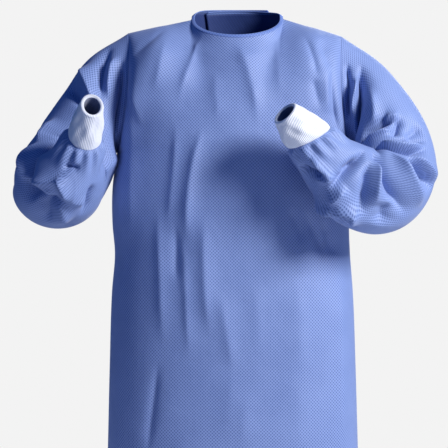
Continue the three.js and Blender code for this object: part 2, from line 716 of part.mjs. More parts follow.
// Ribbed tube on the gathered end of a sleeve, its rim rolled slightly outward
const cuffCloth = (name, colour, sections, side, cuff) => {
  const arm = sleeveLine(sections);
  const end = armFrame(arm, arm.length, side);
  const turns = sleeveTurns();
  const tall = sections.tall[sections.tall.length - 1];
  const wide = sections.wide[sections.wide.length - 1];
  const outs = turns.map((turn) => sleevePoint(arm, sections, side, arm.length, turn).out);
  const axis = new THREE.Vector3(...cuff.rim).sub(end.centre);
  const way = axis.clone().normalize();
  const base = outs.map((out) => {
    const reach = ovalReach(out, end.tangent, tall, wide);
    return end.centre.clone().addScaledVector(out, reach);
  });
  const rim = outs.map((out) => {
    const reach = ovalReach(out, end.tangent, cuff.tall, cuff.wide);
    const flat = out.clone().multiplyScalar(reach);
    flat.addScaledVector(way, -flat.dot(way));
    return end.centre.clone().add(axis).add(flat);
  });
  const grid = [];
  for (let i = 0; i <= CUFF_ROWS; i += 1) {
    const u = i / CUFF_ROWS;
    grid.push(base.map((point, j) => {
      const at = point.clone().lerp(rim[j], u);
      const waist = -CUFF_WAIST * Math.sin(Math.PI * u);
      return at.addScaledVector(outs[j], waist);
    }));
  }
  const normals = gridNormals(grid, true);
  normals.forEach((row) => row.forEach((normal) => normal.multiplyScalar(-side)));
  outs.forEach((out, j) => {
    normals[0][j] = out;
    const away = grid[1][j].clone().sub(grid[0][j]).setLength(SEAM_GAP);
    grid[0][j].add(away);
  });
  if (side > 0) {
    grid.forEach((row) => row.reverse());
    normals.forEach((row) => row.reverse());
  }
  return wall(name, colour, 0.95, grid, normals, CUFF_WALL, true);
};

const spread = (from, to, count) => {
  const values = [];
  for (let i = 0; i <= count; i += 1) {
    values.push(from + ((to - from) * i) / count);
  }
  return values;
};

const frontColumns = spread(-1, 1, FRONT_COLUMNS);
const neckColumns = spread(-NECK_SHARE, LAP, 9);
const backColumns = [-1, -0.93, -0.84, -0.72, -0.58, ...neckColumns];
const mirrored = backColumns.map((p) => -p).reverse();

const BINDING_LEVELS = [0, 0.45, 0.85, 1];
const BINDING_EDGE = 0.55;

// Folded strip round the neck edge; its ends lap at the back
const neckBinding = (name, colour) => {
  const places = [];
  [...neckColumns].reverse().forEach((p) => places.push([p, 1, lapMove(p, 1)]));
  frontColumns.filter((p) => Math.abs(p) < NECK_SHARE).forEach((p) => places.push([p, -1, 0]));
  neckColumns.forEach((p) => places.push([-p, 1, lapMove(-p, -1)]));
  const grid = BINDING_LEVELS.map((u) => places.map(([p, face, lap]) => {
    const lean = neckLean(p, face);
    const at = topEdge(p, face).addScaledVector(lean.normal, lap);
    return at.addScaledVector(lean.rise, SEAM_GAP / 2 + BINDING_WIDTH * u);
  }));
  const normals = BINDING_LEVELS.map((u) => places.map(([p, face]) => {
    const full = u === 1 ? BINDING_EDGE : 1;
    return neckLean(p, face).normal.multiplyScalar(full);
  }));
  return wall(name, colour, 0.8, grid, normals, BINDING_WALL, false);
};

// Row position of the back cloth that reaches the height z in the column p
const heightShare = (p, z) => {
  let low = 1;
  let high = 2;
  for (let i = 0; i < HALVINGS; i += 1) {
    const v = (low + high) / 2;
    if (body(p, v, 1).z < z) {
      low = v;
    } else {
      high = v;
    }
  }
  return (low + high) / 2;
};

const coverColumns = [...backColumns, ...mirrored.filter((p) => p > LAP)];
const cover = panelGrid(coverColumns, 1, CREASES_BACK, (p) => lapMove(-Math.abs(p), 1));
const coverRows = bodyRows();

// Point of the outer face of the two laps at a column and row position
const coverPoint = (p, v) => {
  const j = Math.max(0, coverColumns.findIndex((column) => column >= p) - 1);
  const i = Math.max(0, coverRows.findIndex((row) => row >= v) - 1);
  const s = (p - coverColumns[j]) / (coverColumns[j + 1] - coverColumns[j]);
  const t = (v - coverRows[i]) / (coverRows[i + 1] - coverRows[i]);
  const low = cover[i][j].clone().lerp(cover[i][j + 1], s);
  return low.lerp(cover[i + 1][j].clone().lerp(cover[i + 1][j + 1], s), t);
};

// The same at a place and height, moved outward; a place on a column may name it
const onBack = (x, z, offset, column) => {
  let low = column ?? -1;
  let high = column ?? 1;
  let v = (z - HEM) / (UNDERARM - HEM);
  for (let i = 0; i < HALVINGS; i += 1) {
    const p = (low + high) / 2;
    v = z > UNDERARM ? heightShare(p, z) : v;
    if (body(p, v, 1).x < x) {
      low = p;
    } else {
      high = p;
    }
  }
  const p = (low + high) / 2;
  const spot = body(p, v, 1);
  const sideways = body(p + SLOPE_STEP, v, 1).sub(body(p - SLOPE_STEP, v, 1));
  const out = spot.sub(body(p, v - SLOPE_STEP, 1)).cross(sideways).normalize();
  return { point: coverPoint(p, v).addScaledVector(out, offset), out };
};

// Strip laid on the back along a line of places, its width across the line
const strip = (name, colour, places, wide, thick, offset) => {
  const grid = [];
  const normals = [];
  [-0.5, 0, 0.5].forEach((share) => {
    const row = [];
    const out = [];
    places.forEach(([x, z, column], i) => {
      const next = places[Math.min(i + 1, places.length - 1)];
      const prior = places[Math.max(i - 1, 0)];
      const run = new THREE.Vector2(next[0] - prior[0], next[1] - prior[1]).normalize();
      const sewn = smooth((TIE.reach - Math.abs(x)) / TIE_SEAT_REACH);
      const lift = mix(TIE_SEAT, offset, sewn);
      const spot = onBack(x + run.y * share * wide, z - run.x * share * wide, lift, column);
      row.push(spot.point);
      out.push(spot.out);
    });
    grid.push(row);
    normals.push(out);
  });
  return wall(name, colour, 0.85, grid, normals, thick, false);
};

// One waist tie: from its side seam to the middle of the back, then hanging past the knot
const tie = (name, side, offset) => {
  const level = (TIE.height - HEM) / (UNDERARM - HEM);
  const run = spread(0, coverColumns.length - 1, coverColumns.length - 1);
  const columns = run.map((i) => coverColumns[i] * side);
  const far = columns.filter((p) => p >= TIE.near && p <= TIE.far).sort((p, q) => q - p);
  const places = far.map((p) => [coverPoint(side * p, level).x, TIE.height, side * p]);
  spread(0, 90, 6).slice(1).forEach((degrees) => {
    const angle = radians(degrees);
    const x = -side * TIE.turn * Math.sin(angle);
    places.push([x, TIE.height - TIE.turn * (1 - Math.cos(angle))]);
  });
  spread(0, 1, 9).slice(1).forEach((u) => {
    const x = -side * (TIE.turn + TIE.spread * u ** 1.5);
    places.push([x, TIE.height - TIE.turn - TIE.drop * u]);
  });
  return strip(name, BLUE, places, TIE.wide, TIE.wall, offset);
};

// Wrap of the knot: a rounded pad over the crossing of the ties
const knotPad = (name) => {
  const spot = onBack(0, TIE.height, KNOT.offset);
  const { rings, sides } = KNOT;
  const positions = [];
  const faces = [];
  const push = (x, y, z) => positions.push(spot.point.x + x, spot.point.y + y, spot.point.z + z);
  push(0, 0, -KNOT.high / 2);
  for (let i = 1; i < rings; i += 1) {
    const level = (Math.PI * i) / rings;
    const size = Math.sin(level) ** KNOT.square;
    for (let j = 0; j < sides; j += 1) {
      const turn = (2 * Math.PI * j) / sides;
      const x = (KNOT.wide / 2) * size * Math.cos(turn);
      const y = (KNOT.deep / 2) * size * Math.sin(turn);
      push(x, y, -(KNOT.high / 2) * Math.cos(level));
    }
  }
  push(0, 0, KNOT.high / 2);
  const top = 1 + (rings - 1) * sides;
  for (let j = 0; j < sides; j += 1) {
    const k = (j + 1) % sides;
    faces.push(0, 1 + k, 1 + j);
    faces.push(top, top - sides + j, top - sides + k);
    for (let i = 0; i < rings - 2; i += 1) {
      const a = 1 + i * sides;
      faces.push(a + j, a + k, a + sides + k, a + j, a + sides + k, a + sides + j);
    }
  }
  return cloth(name, BLUE, 0.85, positions, faces);
};

const tabPlaces = spread(TAB.from, TAB.to, 5).map((x) => [x, (TAB.low + TAB.high) / 2]);

const group = new THREE.Group();
group.name = 'surgical_gown';
group.add(panel('front_panel', BLUE, frontColumns, -1, CREASES_FRONT, () => 0));
group.add(panel('back_panel_left', BLUE, backColumns, 1, CREASES_BACK, (p) => lapMove(p, 1)));
group.add(panel('back_panel_right', BLUE, mirrored, 1, CREASES_BACK, (p) => lapMove(p, -1)));
group.add(sleeveCloth('sleeve_left', BLUE, SLEEVE_LEFT, -1, CREASES_LEFT));
group.add(sleeveCloth('sleeve_right', BLUE, SLEEVE_RIGHT, 1, CREASES_RIGHT));
group.add(cuffCloth('cuff_left', KNIT_WHITE, SLEEVE_LEFT, -1, CUFF_LEFT));
group.add(cuffCloth('cuff_right', KNIT_WHITE, SLEEVE_RIGHT, 1, CUFF_RIGHT));
group.add(neckBinding('neck_binding', BINDING_BLUE));
group.add(strip('neck_tab', KNIT_WHITE, tabPlaces, TAB.high - TAB.low, TAB.wall, TAB.offset));
group.add(tie('waist_tie_left', -1, TIE_OFFSET_LEFT));
group.add(tie('waist_tie_right', 1, TIE_OFFSET_RIGHT));
group.add(knotPad('waist_knot'));

export default group;
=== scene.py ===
# %% [markdown]
# # A surgical gown, filled out as if worn
#
# The real thing is sewn from a thin bonded nonwoven: one front, two back halves that lap over
# each other, two set-in sleeves gathered onto white rib-knit cuffs, a folded strip round the
# neck, a tab and two waist ties at the back. Nothing in it is stiff, so all of its shape is
# the wearer's shape plus creases.
#
# Cloth like this could be simulated, but the creases of a worn sleeve come from how the arm was
# bent and are different every time. Here every panel is a surface worked out with numpy: a
# smooth body form first, then creases added one by one from a table, each where it is seen.

import math

import bpy
import numpy as np
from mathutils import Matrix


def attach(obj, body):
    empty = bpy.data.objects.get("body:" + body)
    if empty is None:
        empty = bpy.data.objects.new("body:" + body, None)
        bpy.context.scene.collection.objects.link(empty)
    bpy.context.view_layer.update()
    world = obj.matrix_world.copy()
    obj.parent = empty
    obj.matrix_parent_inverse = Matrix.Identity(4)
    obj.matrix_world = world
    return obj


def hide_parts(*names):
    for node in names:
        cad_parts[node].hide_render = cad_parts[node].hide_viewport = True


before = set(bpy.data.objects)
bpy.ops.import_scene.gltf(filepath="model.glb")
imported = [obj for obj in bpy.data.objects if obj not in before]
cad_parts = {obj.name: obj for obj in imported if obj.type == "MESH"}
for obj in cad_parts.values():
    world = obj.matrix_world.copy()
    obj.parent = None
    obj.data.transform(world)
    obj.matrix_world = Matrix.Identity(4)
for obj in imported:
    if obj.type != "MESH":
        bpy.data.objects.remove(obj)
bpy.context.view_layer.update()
MM = 0.001
print("nodes:", sorted(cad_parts))

# %% [markdown]
# ## Tables and smooth curves
#
# A garment is drafted from a few measures at a few heights. `table` keeps them under plain
# names and `along` runs a smooth cubic through them, so that a side seam or the width of a
# sleeve is a handful of rows and not a list of points.


# %% Tables and curves
def table(names, *rows):
    """Columns of numbers by name, one row for each height, section or crease."""
    return {name: np.array([row[i] for row in rows], float) for i, name in enumerate(names.split())}


def along(x, y, at):
    """Cubic through the points (x, y), its slopes taken from the neighbouring points."""
    slope = np.gradient(y, x)
    at = np.clip(at, x[0], x[-1])
    i = np.clip(np.searchsorted(x, at, side="right") - 1, 0, len(x) - 2)
    h = x[i + 1] - x[i]
    t = (at - x[i]) / h
    start = (1 + 2 * t) * (1 - t) ** 2 * y[i] + t * (1 - t) ** 2 * h * slope[i]
    return start + t * t * (3 - 2 * t) * y[i + 1] + t * t * (t - 1) * h * slope[i + 1]


def smooth(t):
    """0 below 0, 1 above 1, and an even S curve between them."""
    t = np.clip(t, 0, 1)
    return t * t * (3 - 2 * t)


def mix(a, b, t):
    """a where t is 0, b where t is 1."""
    return a + (b - a) * t


def unit(v):
    """The same directions at length 1."""
    return v / np.linalg.norm(v, axis=-1, keepdims=True)


# %% [markdown]
# ## The body form
#
# Front and back are cut as two nearly flat shapes, but on a wearer they close into a tube: an
# oval at the hem, a rounder chest, then two shoulders and a neck. `body` is that tube as a
# function of a column p, which runs from side seam (-1) to side seam (+1), and a row v, which
# runs from the hem (0) past the underarm (1) to the neckline and the shoulder seam (2).

# %% Measures of the body, in millimetres
HEM = -1210
UNDERARM = -285
BODY = table(
    "z left right front back",
    (HEM, -276, 274, 168, 166),
    (-918, -269, 264, 160, 152),
    (-740, -265, 259, 154, 136),
    (-580, -260, 253, 149, 121),
    (-499, -254, 247, 147, 115),
    (-440, -259, 245, 146, 118),
    (-362, -259, 246, 144, 126),
    (UNDERARM, -249, 246, 140, 128),
)
SHOULDER = {-1: (-226, 6, -31), 1: (230, 6, -38)}
NECK_SIDE = {-1: (-84, -2, 0), 1: (98, -2, 2)}
NECK_FRONT = (4, -80, -44)
NECK_BACK = (6, 60, 26)
NECK_SHARE = 0.4375
NECK_TILT_MIDDLE = 25
NECK_TILT_SIDE = 65
BINDING_WIDTH = 7
ARMHOLE_FRONT = 66
ARMHOLE_BACK = 74
ARMHOLE_SCOOP = 14
SIDE_ROUNDING = 0.55
FLATTENING = 0.05
NECK_POWER = {-1: 0.9, 1: 0.55}
NECK_INFLUENCE = {"from": 0.75, "over": 0.5}
ARM_INFLUENCE = {"from": 0.62, "over": 0.38}
NECK_SLOPE = 1.7
NECK_SHIFT = 3


# %% The body as a function
def by_side(p, values, k):
    """Coordinate k of the left or the right value, by the sign of p."""
    return np.where(p < 0, values[-1][k], values[1][k])


def neck_lean(p, face):
    """Direction out of the cloth and direction up to the neck, leaning in more at the shoulders."""
    turn = np.clip(np.abs(p) / NECK_SHARE, 0, 1) * np.pi / 2
    tilt = np.radians(mix(NECK_TILT_MIDDLE, NECK_TILT_SIDE, np.sin(turn) ** 2))
    side, deep = np.sign(p) * np.sin(turn), face * np.cos(turn)
    normal = np.stack([side * np.cos(tilt), deep * np.cos(tilt), np.sin(tilt)], -1)
    rise = np.stack([-side * np.sin(tilt), -deep * np.sin(tilt), np.cos(tilt)], -1)
    return normal, rise


def top_edge(p, face):
    """Neckline for |p| below NECK_SHARE, a straight shoulder seam beyond it."""
    q = np.abs(p)
    turn = np.clip(q / NECK_SHARE, 0, 1) * np.pi / 2
    middle = NECK_FRONT if face < 0 else NECK_BACK
    neck = np.stack(
        [
            mix(middle[0], by_side(p, NECK_SIDE, 0), np.sin(turn)),
            mix(by_side(p, NECK_SIDE, 1), middle[1], np.cos(turn)),
            mix(by_side(p, NECK_SIDE, 2), middle[2], np.cos(turn) ** NECK_POWER[face]),
        ],
        -1,
    )
    neck = neck - neck_lean(p, face)[1] * BINDING_WIDTH
    share = np.clip((q - NECK_SHARE) / (1 - NECK_SHARE), 0, 1)[..., None]
    shoulder = np.stack([by_side(p, SHOULDER, k) for k in range(3)], -1)
    return mix(neck, shoulder, share)


def body(p, v, face):
    """Oval of half width and depth from BODY below the underarm; above it the oval closes
    onto the neckline and the shoulder seam, and swells towards the armholes."""
    p, v = np.broadcast_arrays(np.asarray(p, float), np.asarray(v, float))
    a = np.pi / 2 * mix(p, p**3, SIDE_ROUNDING)
    across = (np.sin(a) + FLATTENING * np.sin(3 * a)) / (1 - FLATTENING)
    z = HEM + (UNDERARM - HEM) * np.clip(v, 0, 1)
    left, right = along(BODY["z"], BODY["left"], z), along(BODY["z"], BODY["right"], z)
    deep = along(BODY["z"], BODY["front" if face < 0 else "back"], z)
    middle = (left + right) / 2
    x = middle + (right - left) / 2 * across
    y = face * deep * np.cos(a)
    b = np.clip(v - 1, 0, 1) * np.pi / 2
    u = b / (np.pi / 2)
    top = top_edge(p, face)
    q = np.abs(p)
    edge_rise = np.sin(b) ** 2
    edge_low = np.abs(np.where(p < 0, left, right))
    edge = mix(edge_low, np.abs(by_side(p, SHOULDER, 0)), edge_rise) - ARMHOLE_SCOOP * np.sin(2 * b)
    near_neck = smooth((NECK_INFLUENCE["from"] - q) / NECK_INFLUENCE["over"])
    near_arm = smooth((q - ARM_INFLUENCE["from"]) / ARM_INFLUENCE["over"])
    rise = mix(mix(np.sin(b), u, near_neck), edge_rise, near_arm)
    fall = mix(np.cos(b), 1 - u**NECK_SLOPE, near_neck)
    swell = mix(np.sin(2 * b) ** 2, np.sin(2 * b), near_arm)
    bulge = (ARMHOLE_FRONT if face < 0 else ARMHOLE_BACK) * swell * np.sin(a) ** 2
    x_up = mix(middle * (1 - q) + edge * across, top[..., 0], u**NECK_SHIFT)
    y_up = top[..., 1] + (y - top[..., 1]) * fall + face * bulge
    z_up = UNDERARM + (top[..., 2] - UNDERARM) * rise
    up = v > 1
    return np.stack([np.where(up, x_up, x), np.where(up, y_up, y), np.where(up, z_up, z)], -1)


chest = body([-1, 1], 1, -1)
print("chest width, mm:", round(float(chest[1, 0] - chest[0, 0])))

# %% [markdown]
# ## Creases
#
# A crease in nonwoven is a ridge or a trough with one sharp line and two flanks that run out
# into the cloth. Sculpting them by hand works, but can't be tuned later; noise gives the same
# crumple everywhere. So each crease is a row: where it starts and ends on the flat cloth, how
# much it bows, how far each flank reaches, how blunt its line is and how high it stands.
# Walking from start to end, `right` and `left` are the flanks on that hand. A crease starts a
# little before its first point and ends a little past its last one, because cloth lets go
# slowly.


# %% The crease function
RUN_OUT = 0.15
FADE = 0.45


def creased(creases, a, b, turn_unit=None):
    """Sum over the rows of depth * exp(-distance / flank), blunted near the line by soft, and
    faded out past both ends. turn_unit is the length of one degree on a closed sleeve."""
    a, b = np.broadcast_arrays(np.asarray(a, float), np.asarray(b, float))
    scale = turn_unit or 1
    total = np.zeros(a.shape)
    for a0, b0, a1, b1, bow, right, left, soft, depth in zip(*creases.values()):
        b0, b1 = b0 * scale, b1 * scale
        here = b
        if turn_unit:
            round_length = 360 * turn_unit
            here = b - np.round((b - (b0 + b1) / 2) / round_length) * round_length
        da, db = a1 - a0, b1 - b0
        reach = math.hypot(da, db)
        t = ((a - a0) * da + (here - b0) * db) / reach**2
        off = ((a - a0) * db - (here - b0) * da) / reach - bow * 4 * t * (1 - t)
        fade = smooth((t + RUN_OUT) / FADE) * smooth((1 + RUN_OUT - t) / FADE)
        flank = mix(left, right, smooth(off / soft / 2 + 0.5))
        total += depth * fade * np.exp(-(np.hypot(off, soft) - soft) / flank)
    return total


CREASE = "a0 b0 a1 b1 bow right left soft depth"
FRONT_CREASES = table(
    CREASE,
    (-64, -44, -112, -168, 4, 9, 24, 3, 8),
    (2, -48, 48, -218, -5, 14, 36, 5, 10),
    (-150, -30, -222, -94, 0, 8, 8, 3, -5),
    (-226, -92, -192, -226, 6, 7, 30, 4, 8),
    (-146, -60, -162, -156, 0, 8, 18, 3, 4),
    (150, -50, 172, -130, -3, 8, 10, 3, -7),
    (163, -138, 176, -194, 0, 8, 9, 3, -5),
    (182, -55, 203, -114, 0, 10, 12, 5, -6),
    (205, -120, 216, -240, 4, 8, 8, 3, -10),
    (192, -124, 192, -204, 0, 10, 10, 5, 5),
    (88, -50, 96, -170, 0, 14, 16, 6, 4),
    (-40, -130, -34, -220, 0, 12, 14, 5, 3),
    (-120, -246, -136, -424, -3, 7, 16, 2, 5),
    (-70, -258, -98, -452, 7, 13, 16, 3, 12),
    (-157, -430, -148, -664, 0, 8, 14, 3, 6),
    (-120, -450, -118, -548, 0, 9, 8, 3, -6),
    (-62, -440, -52, -652, 4, 17, 26, 4, 9),
    (-28, -590, -4, -730, 0, 17, 22, 5, 6),
    (-5, -740, -14, -866, 0, 22, 28, 8, 3),
    (22, -786, 18, -884, 0, 18, 22, 8, 3),
    (-104, -486, -94, -694, 0, 8, 14, 3, 5),
    (-158, -738, -178, -898, 0, 7, 7, 2, -6),
    (218, -536, 223, -900, 0, 26, 14, 4, 7),
    (131, -556, 134, -740, 0, 30, 24, 9, 5),
    (128, -756, 133, -900, 0, 30, 26, 9, 3),
    (116, -410, 142, -474, 0, 8, 8, 3, -5),
    (150, -422, 189, -508, 0, 8, 9, 3, -8),
    (184, -436, 208, -504, 0, 8, 8, 3, -6),
    (-213, -214, -217, -456, 0, 24, 12, 5, 6),
    (40, -560, 52, -700, 0, 20, 20, 8, 3),
    (30, -900, 36, -1196, 0, 34, 40, 10, 5),
    (-104, -900, -116, -1196, 0, 32, 38, 10, 5),
    (-208, -930, -214, -1196, 0, 20, 26, 8, -5),
    (112, -910, 118, -1196, 0, 32, 32, 10, -5),
    (206, -930, 212, -1196, 0, 22, 22, 8, 7),
)
BACK_CREASES = table(
    CREASE,
    (-150, -84, -122, -290, 0, 16, 20, 5, -6),
    (152, -80, 126, -300, 0, 18, 16, 5, -6),
    (-196, -120, -182, -260, 0, 10, 16, 4, 6),
    (196, -110, 186, -270, 0, 14, 10, 4, 6),
    (-176, -300, -96, -462, 8, 14, 20, 4, -7),
    (172, -306, 98, -462, -8, 18, 14, 4, -7),
    (-60, -290, -38, -458, 0, 14, 18, 5, 5),
    (72, -280, 52, -462, 0, 16, 14, 5, 5),
    (-60, -520, -150, -760, 10, 20, 16, 5, 7),
    (66, -520, 150, -760, -10, 16, 22, 5, 7),
    (-190, -540, -206, -760, 0, 16, 16, 5, -5),
    (196, -560, 210, -780, 0, 18, 14, 5, -6),
    (-150, -780, -170, -1196, 0, 26, 20, 8, 8),
    (-62, -800, -72, -1196, 0, 22, 26, 8, -8),
    (110, -800, 116, -1196, 0, 26, 20, 8, 8),
    (188, -780, 198, -1196, 0, 20, 24, 8, -7),
)
print("creases:", len(FRONT_CREASES["depth"]), "in front,", len(BACK_CREASES["depth"]), "behind")

# %% [markdown]
# ## Surfaces from grids
#
# Every piece of cloth is a grid of points: columns to the right and rows upward, as seen from
# outside, so that its faces look outward. The UV map is the cloth laid flat, in metres, which
# lets the weave and the ribs follow the pieces round. Solidify gives the sheet its two faces,
# and its second material becomes the inner face.


# %% Grid helpers
def flat_lengths(grid):
    """Metres along each row from its middle, and along each column from its first point."""
    across = np.linalg.norm(np.diff(grid, axis=1), axis=2)
    up = np.linalg.norm(np.diff(grid, axis=0), axis=2)
    u = np.concatenate([across[:, :1] * 0, np.cumsum(across, 1)], 1) * MM
    v = np.concatenate([up[:1] * 0, np.cumsum(up, 0)]) * MM
    return np.stack([u - u[:, u.shape[1] // 2, None], v], -1)


def cloth_mesh(name, grid, materials, thick, wrap=False, smooth_grid=None, grain=0):
    """Object from a grid in millimetres, thick millimetres through. Its UV map is in metres,
    measured on smooth_grid, the same surface without its creases, where that is given, and
    turned by grain degrees, which is how the piece lay on the roll of cloth."""
    plain = grid if smooth_grid is None else smooth_grid
    if wrap:
        grid, plain = (np.concatenate([g, g[:, :1]], 1) for g in (grid, plain))
    rows, columns = grid.shape[:2]
    flat = flat_lengths(plain)
    used = columns - 1 if wrap else columns
    index = np.arange(rows * used).reshape(rows, used)
    if wrap:
        index = np.concatenate([index, index[:, :1]], 1)
    corner = np.stack([index[:-1, :-1], index[:-1, 1:], index[1:, 1:], index[1:, :-1]], -1)
    points = (grid[:, :used].reshape(-1, 3) * MM).tolist()
    mesh = bpy.data.meshes.new(name)
    mesh.from_pydata(points, [], corner.reshape(-1, 4).tolist())
    loops = np.stack([flat[:-1, :-1], flat[:-1, 1:], flat[1:, 1:], flat[1:, :-1]], 2)
    c, s = math.cos(math.radians(grain)), math.sin(math.radians(grain))
    turned = loops @ [[c, s], [-s, c]]
    layer = mesh.uv_layers.new(name="cloth")
    layer.data.foreach_set("uv", turned.reshape(-1).astype(np.float32))
    mesh.shade_smooth()
    piece = bpy.data.objects.new(name, mesh)
    bpy.context.scene.collection.objects.link(piece)
    for material in materials:
        mesh.materials.append(material)
    shell = piece.modifiers.new("thickness", "SOLIDIFY")
    shell.thickness = thick * MM
    shell.offset = 0
    shell.use_even_offset = False
    shell.material_offset = len(materials) - 1
    wide, long = np.ptp(flat, (0, 1))
    print(f"{name}: {rows} x {columns} points, {wide:.3f} m wide, {long:.3f} m long")
    return piece


# %% [markdown]
# ## Sleeves
#
# A set-in sleeve starts at the armhole and ends in a gathered edge. The arm's centre line runs
# through a few sections, and each ring of the sleeve is an oval round it. The direction "front"
# is carried along the line without twisting, so that a place on the sleeve is simply s, the
# distance from the armhole, and a turn: 0 in front, 90 degrees over the top of the arm.

# %% Sections of the sleeves, in millimetres
RIGHT_ARM = table(
    "x y z tall wide",
    (229, 2, -158, 84, 84),
    (268, -4, -186, 92, 88),
    (304, -24, -228, 90, 86),
    (331, -58, -284, 88, 86),
    (328, -99, -338, 93, 88),
    (300, -133, -367, 94, 84),
    (254, -158, -365, 88, 76),
    (210, -180, -332, 73, 62),
    (149, -210, -266, 45, 35),
)
LEFT_ARM = table(
    "x y z tall wide",
    (-228, 2, -158, 84, 84),
    (-264, -2, -184, 92, 88),
    (-300, -10, -234, 92, 90),
    (-334, -28, -290, 96, 92),
    (-362, -62, -336, 98, 97),
    (-368, -108, -360, 90, 97),
    (-348, -154, -362, 80, 86),
    (-320, -192, -324, 62, 64),
    (-299, -215, -264, 35, 31),
)
SLEEVE_BLEND = 120
SLANT = 250
LINE_POINTS = 401
EASING = 500
CROOK = 0.86
CROOK_POWER = 6
LEAN = {-1: (0, -0.55, 0), 1: (0.21, 0.04, 0.21)}
LEAN_FROM = 110
REST = 5
REST_SOFT = 6
REST_START = 10
REST_HEIGHT = 60

# %% [markdown]
# An elbow bends the line so sharply that plain ovals would cut through each other in its
# crook. Splitting the sleeve there would leave a seam that isn't there, so the line is eased and
# each ring is held back on the inside of the bend. Where the sleeve would sink into the body's
# flank, it is pushed out to rest on it, and its last rings lean as the wrist does.

# %% The arm's line and its rings
def armhole(turn, side):
    """The armhole's edge: the body form at its outermost column, once round the arm."""
    b = (np.arcsin(np.sin(turn)) + np.pi / 2) / 2
    p, v = side + 0 * turn, 1 + b / (np.pi / 2)
    return np.where((np.cos(turn) >= 0)[:, None], body(p, v, -1), body(p, v, 1))


def arm_line(sections):
    """Smooth line through the section centres, with its bend and a front direction carried
    along it. Averaging each point with its neighbours evens out the bend at the elbow."""
    centre = np.stack([sections[k] for k in "xyz"], -1)
    chord = np.concatenate([[0], np.cumsum(np.linalg.norm(np.diff(centre, axis=0), axis=1))])
    s = np.linspace(0, chord[-1], LINE_POINTS)
    line = np.stack([along(chord, sections[k], s) for k in "xyz"], -1)
    for _ in range(EASING):
        line[1:-1] = (line[:-2] + 2 * line[1:-1] + line[2:]) / 4
    at = np.concatenate([[0], np.cumsum(np.linalg.norm(np.diff(line, axis=0), axis=1))])
    way = unit(np.gradient(line, at, axis=0))
    bend = np.gradient(way, at, axis=0)
    front = [np.array([0, -1, 0.0])]
    for direction in way:
        carried = front[-1] - direction * front[-1].dot(direction)
        front.append(carried / np.linalg.norm(carried))
    front, knots = np.array(front[1:]), np.interp(chord, s, at)
    return {"at": at, "line": line, "way": way, "bend": bend, "front": front, "knots": knots}


def arm_frame(arm, s, side):
    """Centre, way, front and top direction at the distances s, one row for each."""
    pick = [np.stack([np.interp(s, arm["at"], arm[k][:, i]) for i in range(3)], -1)
            for k in ("line", "way", "front")]
    centre, way, front = pick[0], unit(pick[1]), pick[2]
    front = unit(front - way * (front * way).sum(-1, keepdims=True))
    return centre, way, front, np.cross(way, front) * -side


def oval_reach(out, way, tall, wide):
    """Distance to an oval in the direction out, tall upward and wide across."""
    up = np.array([0, 0, 1.0]) - way * way[..., 2:]
    m = (out * unit(up)).sum(-1) ** 2
    return 1 / np.sqrt(m / tall**2 + (1 - m) / wide**2)


def rested(ring, side, s):
    """Where a sleeve would reach into the body's flank, it lies against it, REST clear of it."""
    z = np.clip(ring[..., 2], HEM, UNDERARM)
    left, right = along(BODY["z"], BODY["left"], z), along(BODY["z"], BODY["right"], z)
    front, back = along(BODY["z"], BODY["front"], z), along(BODY["z"], BODY["back"], z)
    deep = np.where(ring[..., 1] < 0, front, back)
    round_share = np.sqrt(np.clip(1 - (ring[..., 1] / (deep + REST)) ** 2, 0, 1))
    flank = (left + right) / 2 + side * ((right - left) / 2 + REST) * round_share
    short = (flank - ring[..., 0]) * side
    push = np.where(round_share > 0, (short + np.hypot(short, REST_SOFT)) / 2, 0)
    low = smooth((UNDERARM + REST_HEIGHT - ring[..., 2]) / REST_HEIGHT)
    push = push * smooth(s / REST_START)[:, None] * low
    return ring + np.array([side, 0, 0]) * push[..., None]


def sleeve_tube(sections, side, s, turn):
    """Rings at the distances s, which run out of the armhole's own shape into ovals. On the
    inside of the bend each ring is held back to CROOK times the bend's radius: x becomes
    x / (1 + x^n)^(1/n). Gives the rings and the directions out of them."""
    arm = arm_line(sections)
    centre, way, front, top = (a[:, None] for a in arm_frame(arm, s, side))
    out = front * np.cos(turn)[:, None] + top * np.sin(turn)[:, None]
    tall, wide = (along(arm["knots"], sections[k], s)[:, None] for k in ("tall", "wide"))
    tube = centre + out * oval_reach(out, way, tall, wide)[..., None]
    start, way0, front0, top0 = (a[0] for a in arm_frame(arm, np.zeros(1), side))
    rel = armhole(turn, side) - start
    lead = centre + front * (rel @ front0)[:, None] + top * (rel @ top0)[:, None]
    ring = mix(lead, tube, smooth(s / SLEEVE_BLEND)[:, None, None])
    ring = ring + way * (rel @ way0)[:, None] * (1 - smooth(s / SLANT))[:, None, None]
    bend = np.stack([np.interp(s, arm["at"], arm["bend"][:, i]) for i in range(3)], -1)[:, None]
    inward = ((ring - centre) * bend).sum(-1, keepdims=True)
    kept = inward / (1 + (np.maximum(inward, 0) / CROOK) ** CROOK_POWER) ** (1 / CROOK_POWER)
    ring = ring - bend * (inward - kept) / ((bend**2).sum(-1, keepdims=True) + 1e-9)
    near_end = smooth((s - arm["at"][-1] + LEAN_FROM) / LEAN_FROM)[:, None]
    lean = ((ring - centre) @ np.array(LEAN[side])) * near_end
    ring = ring - way * lean[..., None]
    return rested(ring, side, s), out


# %% [markdown]
# The sleeves' creases are rows like the others: a is the distance from the armhole, b the turn
# round the arm in degrees. Most of them run out from the crook of the elbow, where the slack
# collects. DEEPEN and SHARPEN make all of them deeper and narrower, and CALM shallow again where
# the crook leaves them no room.

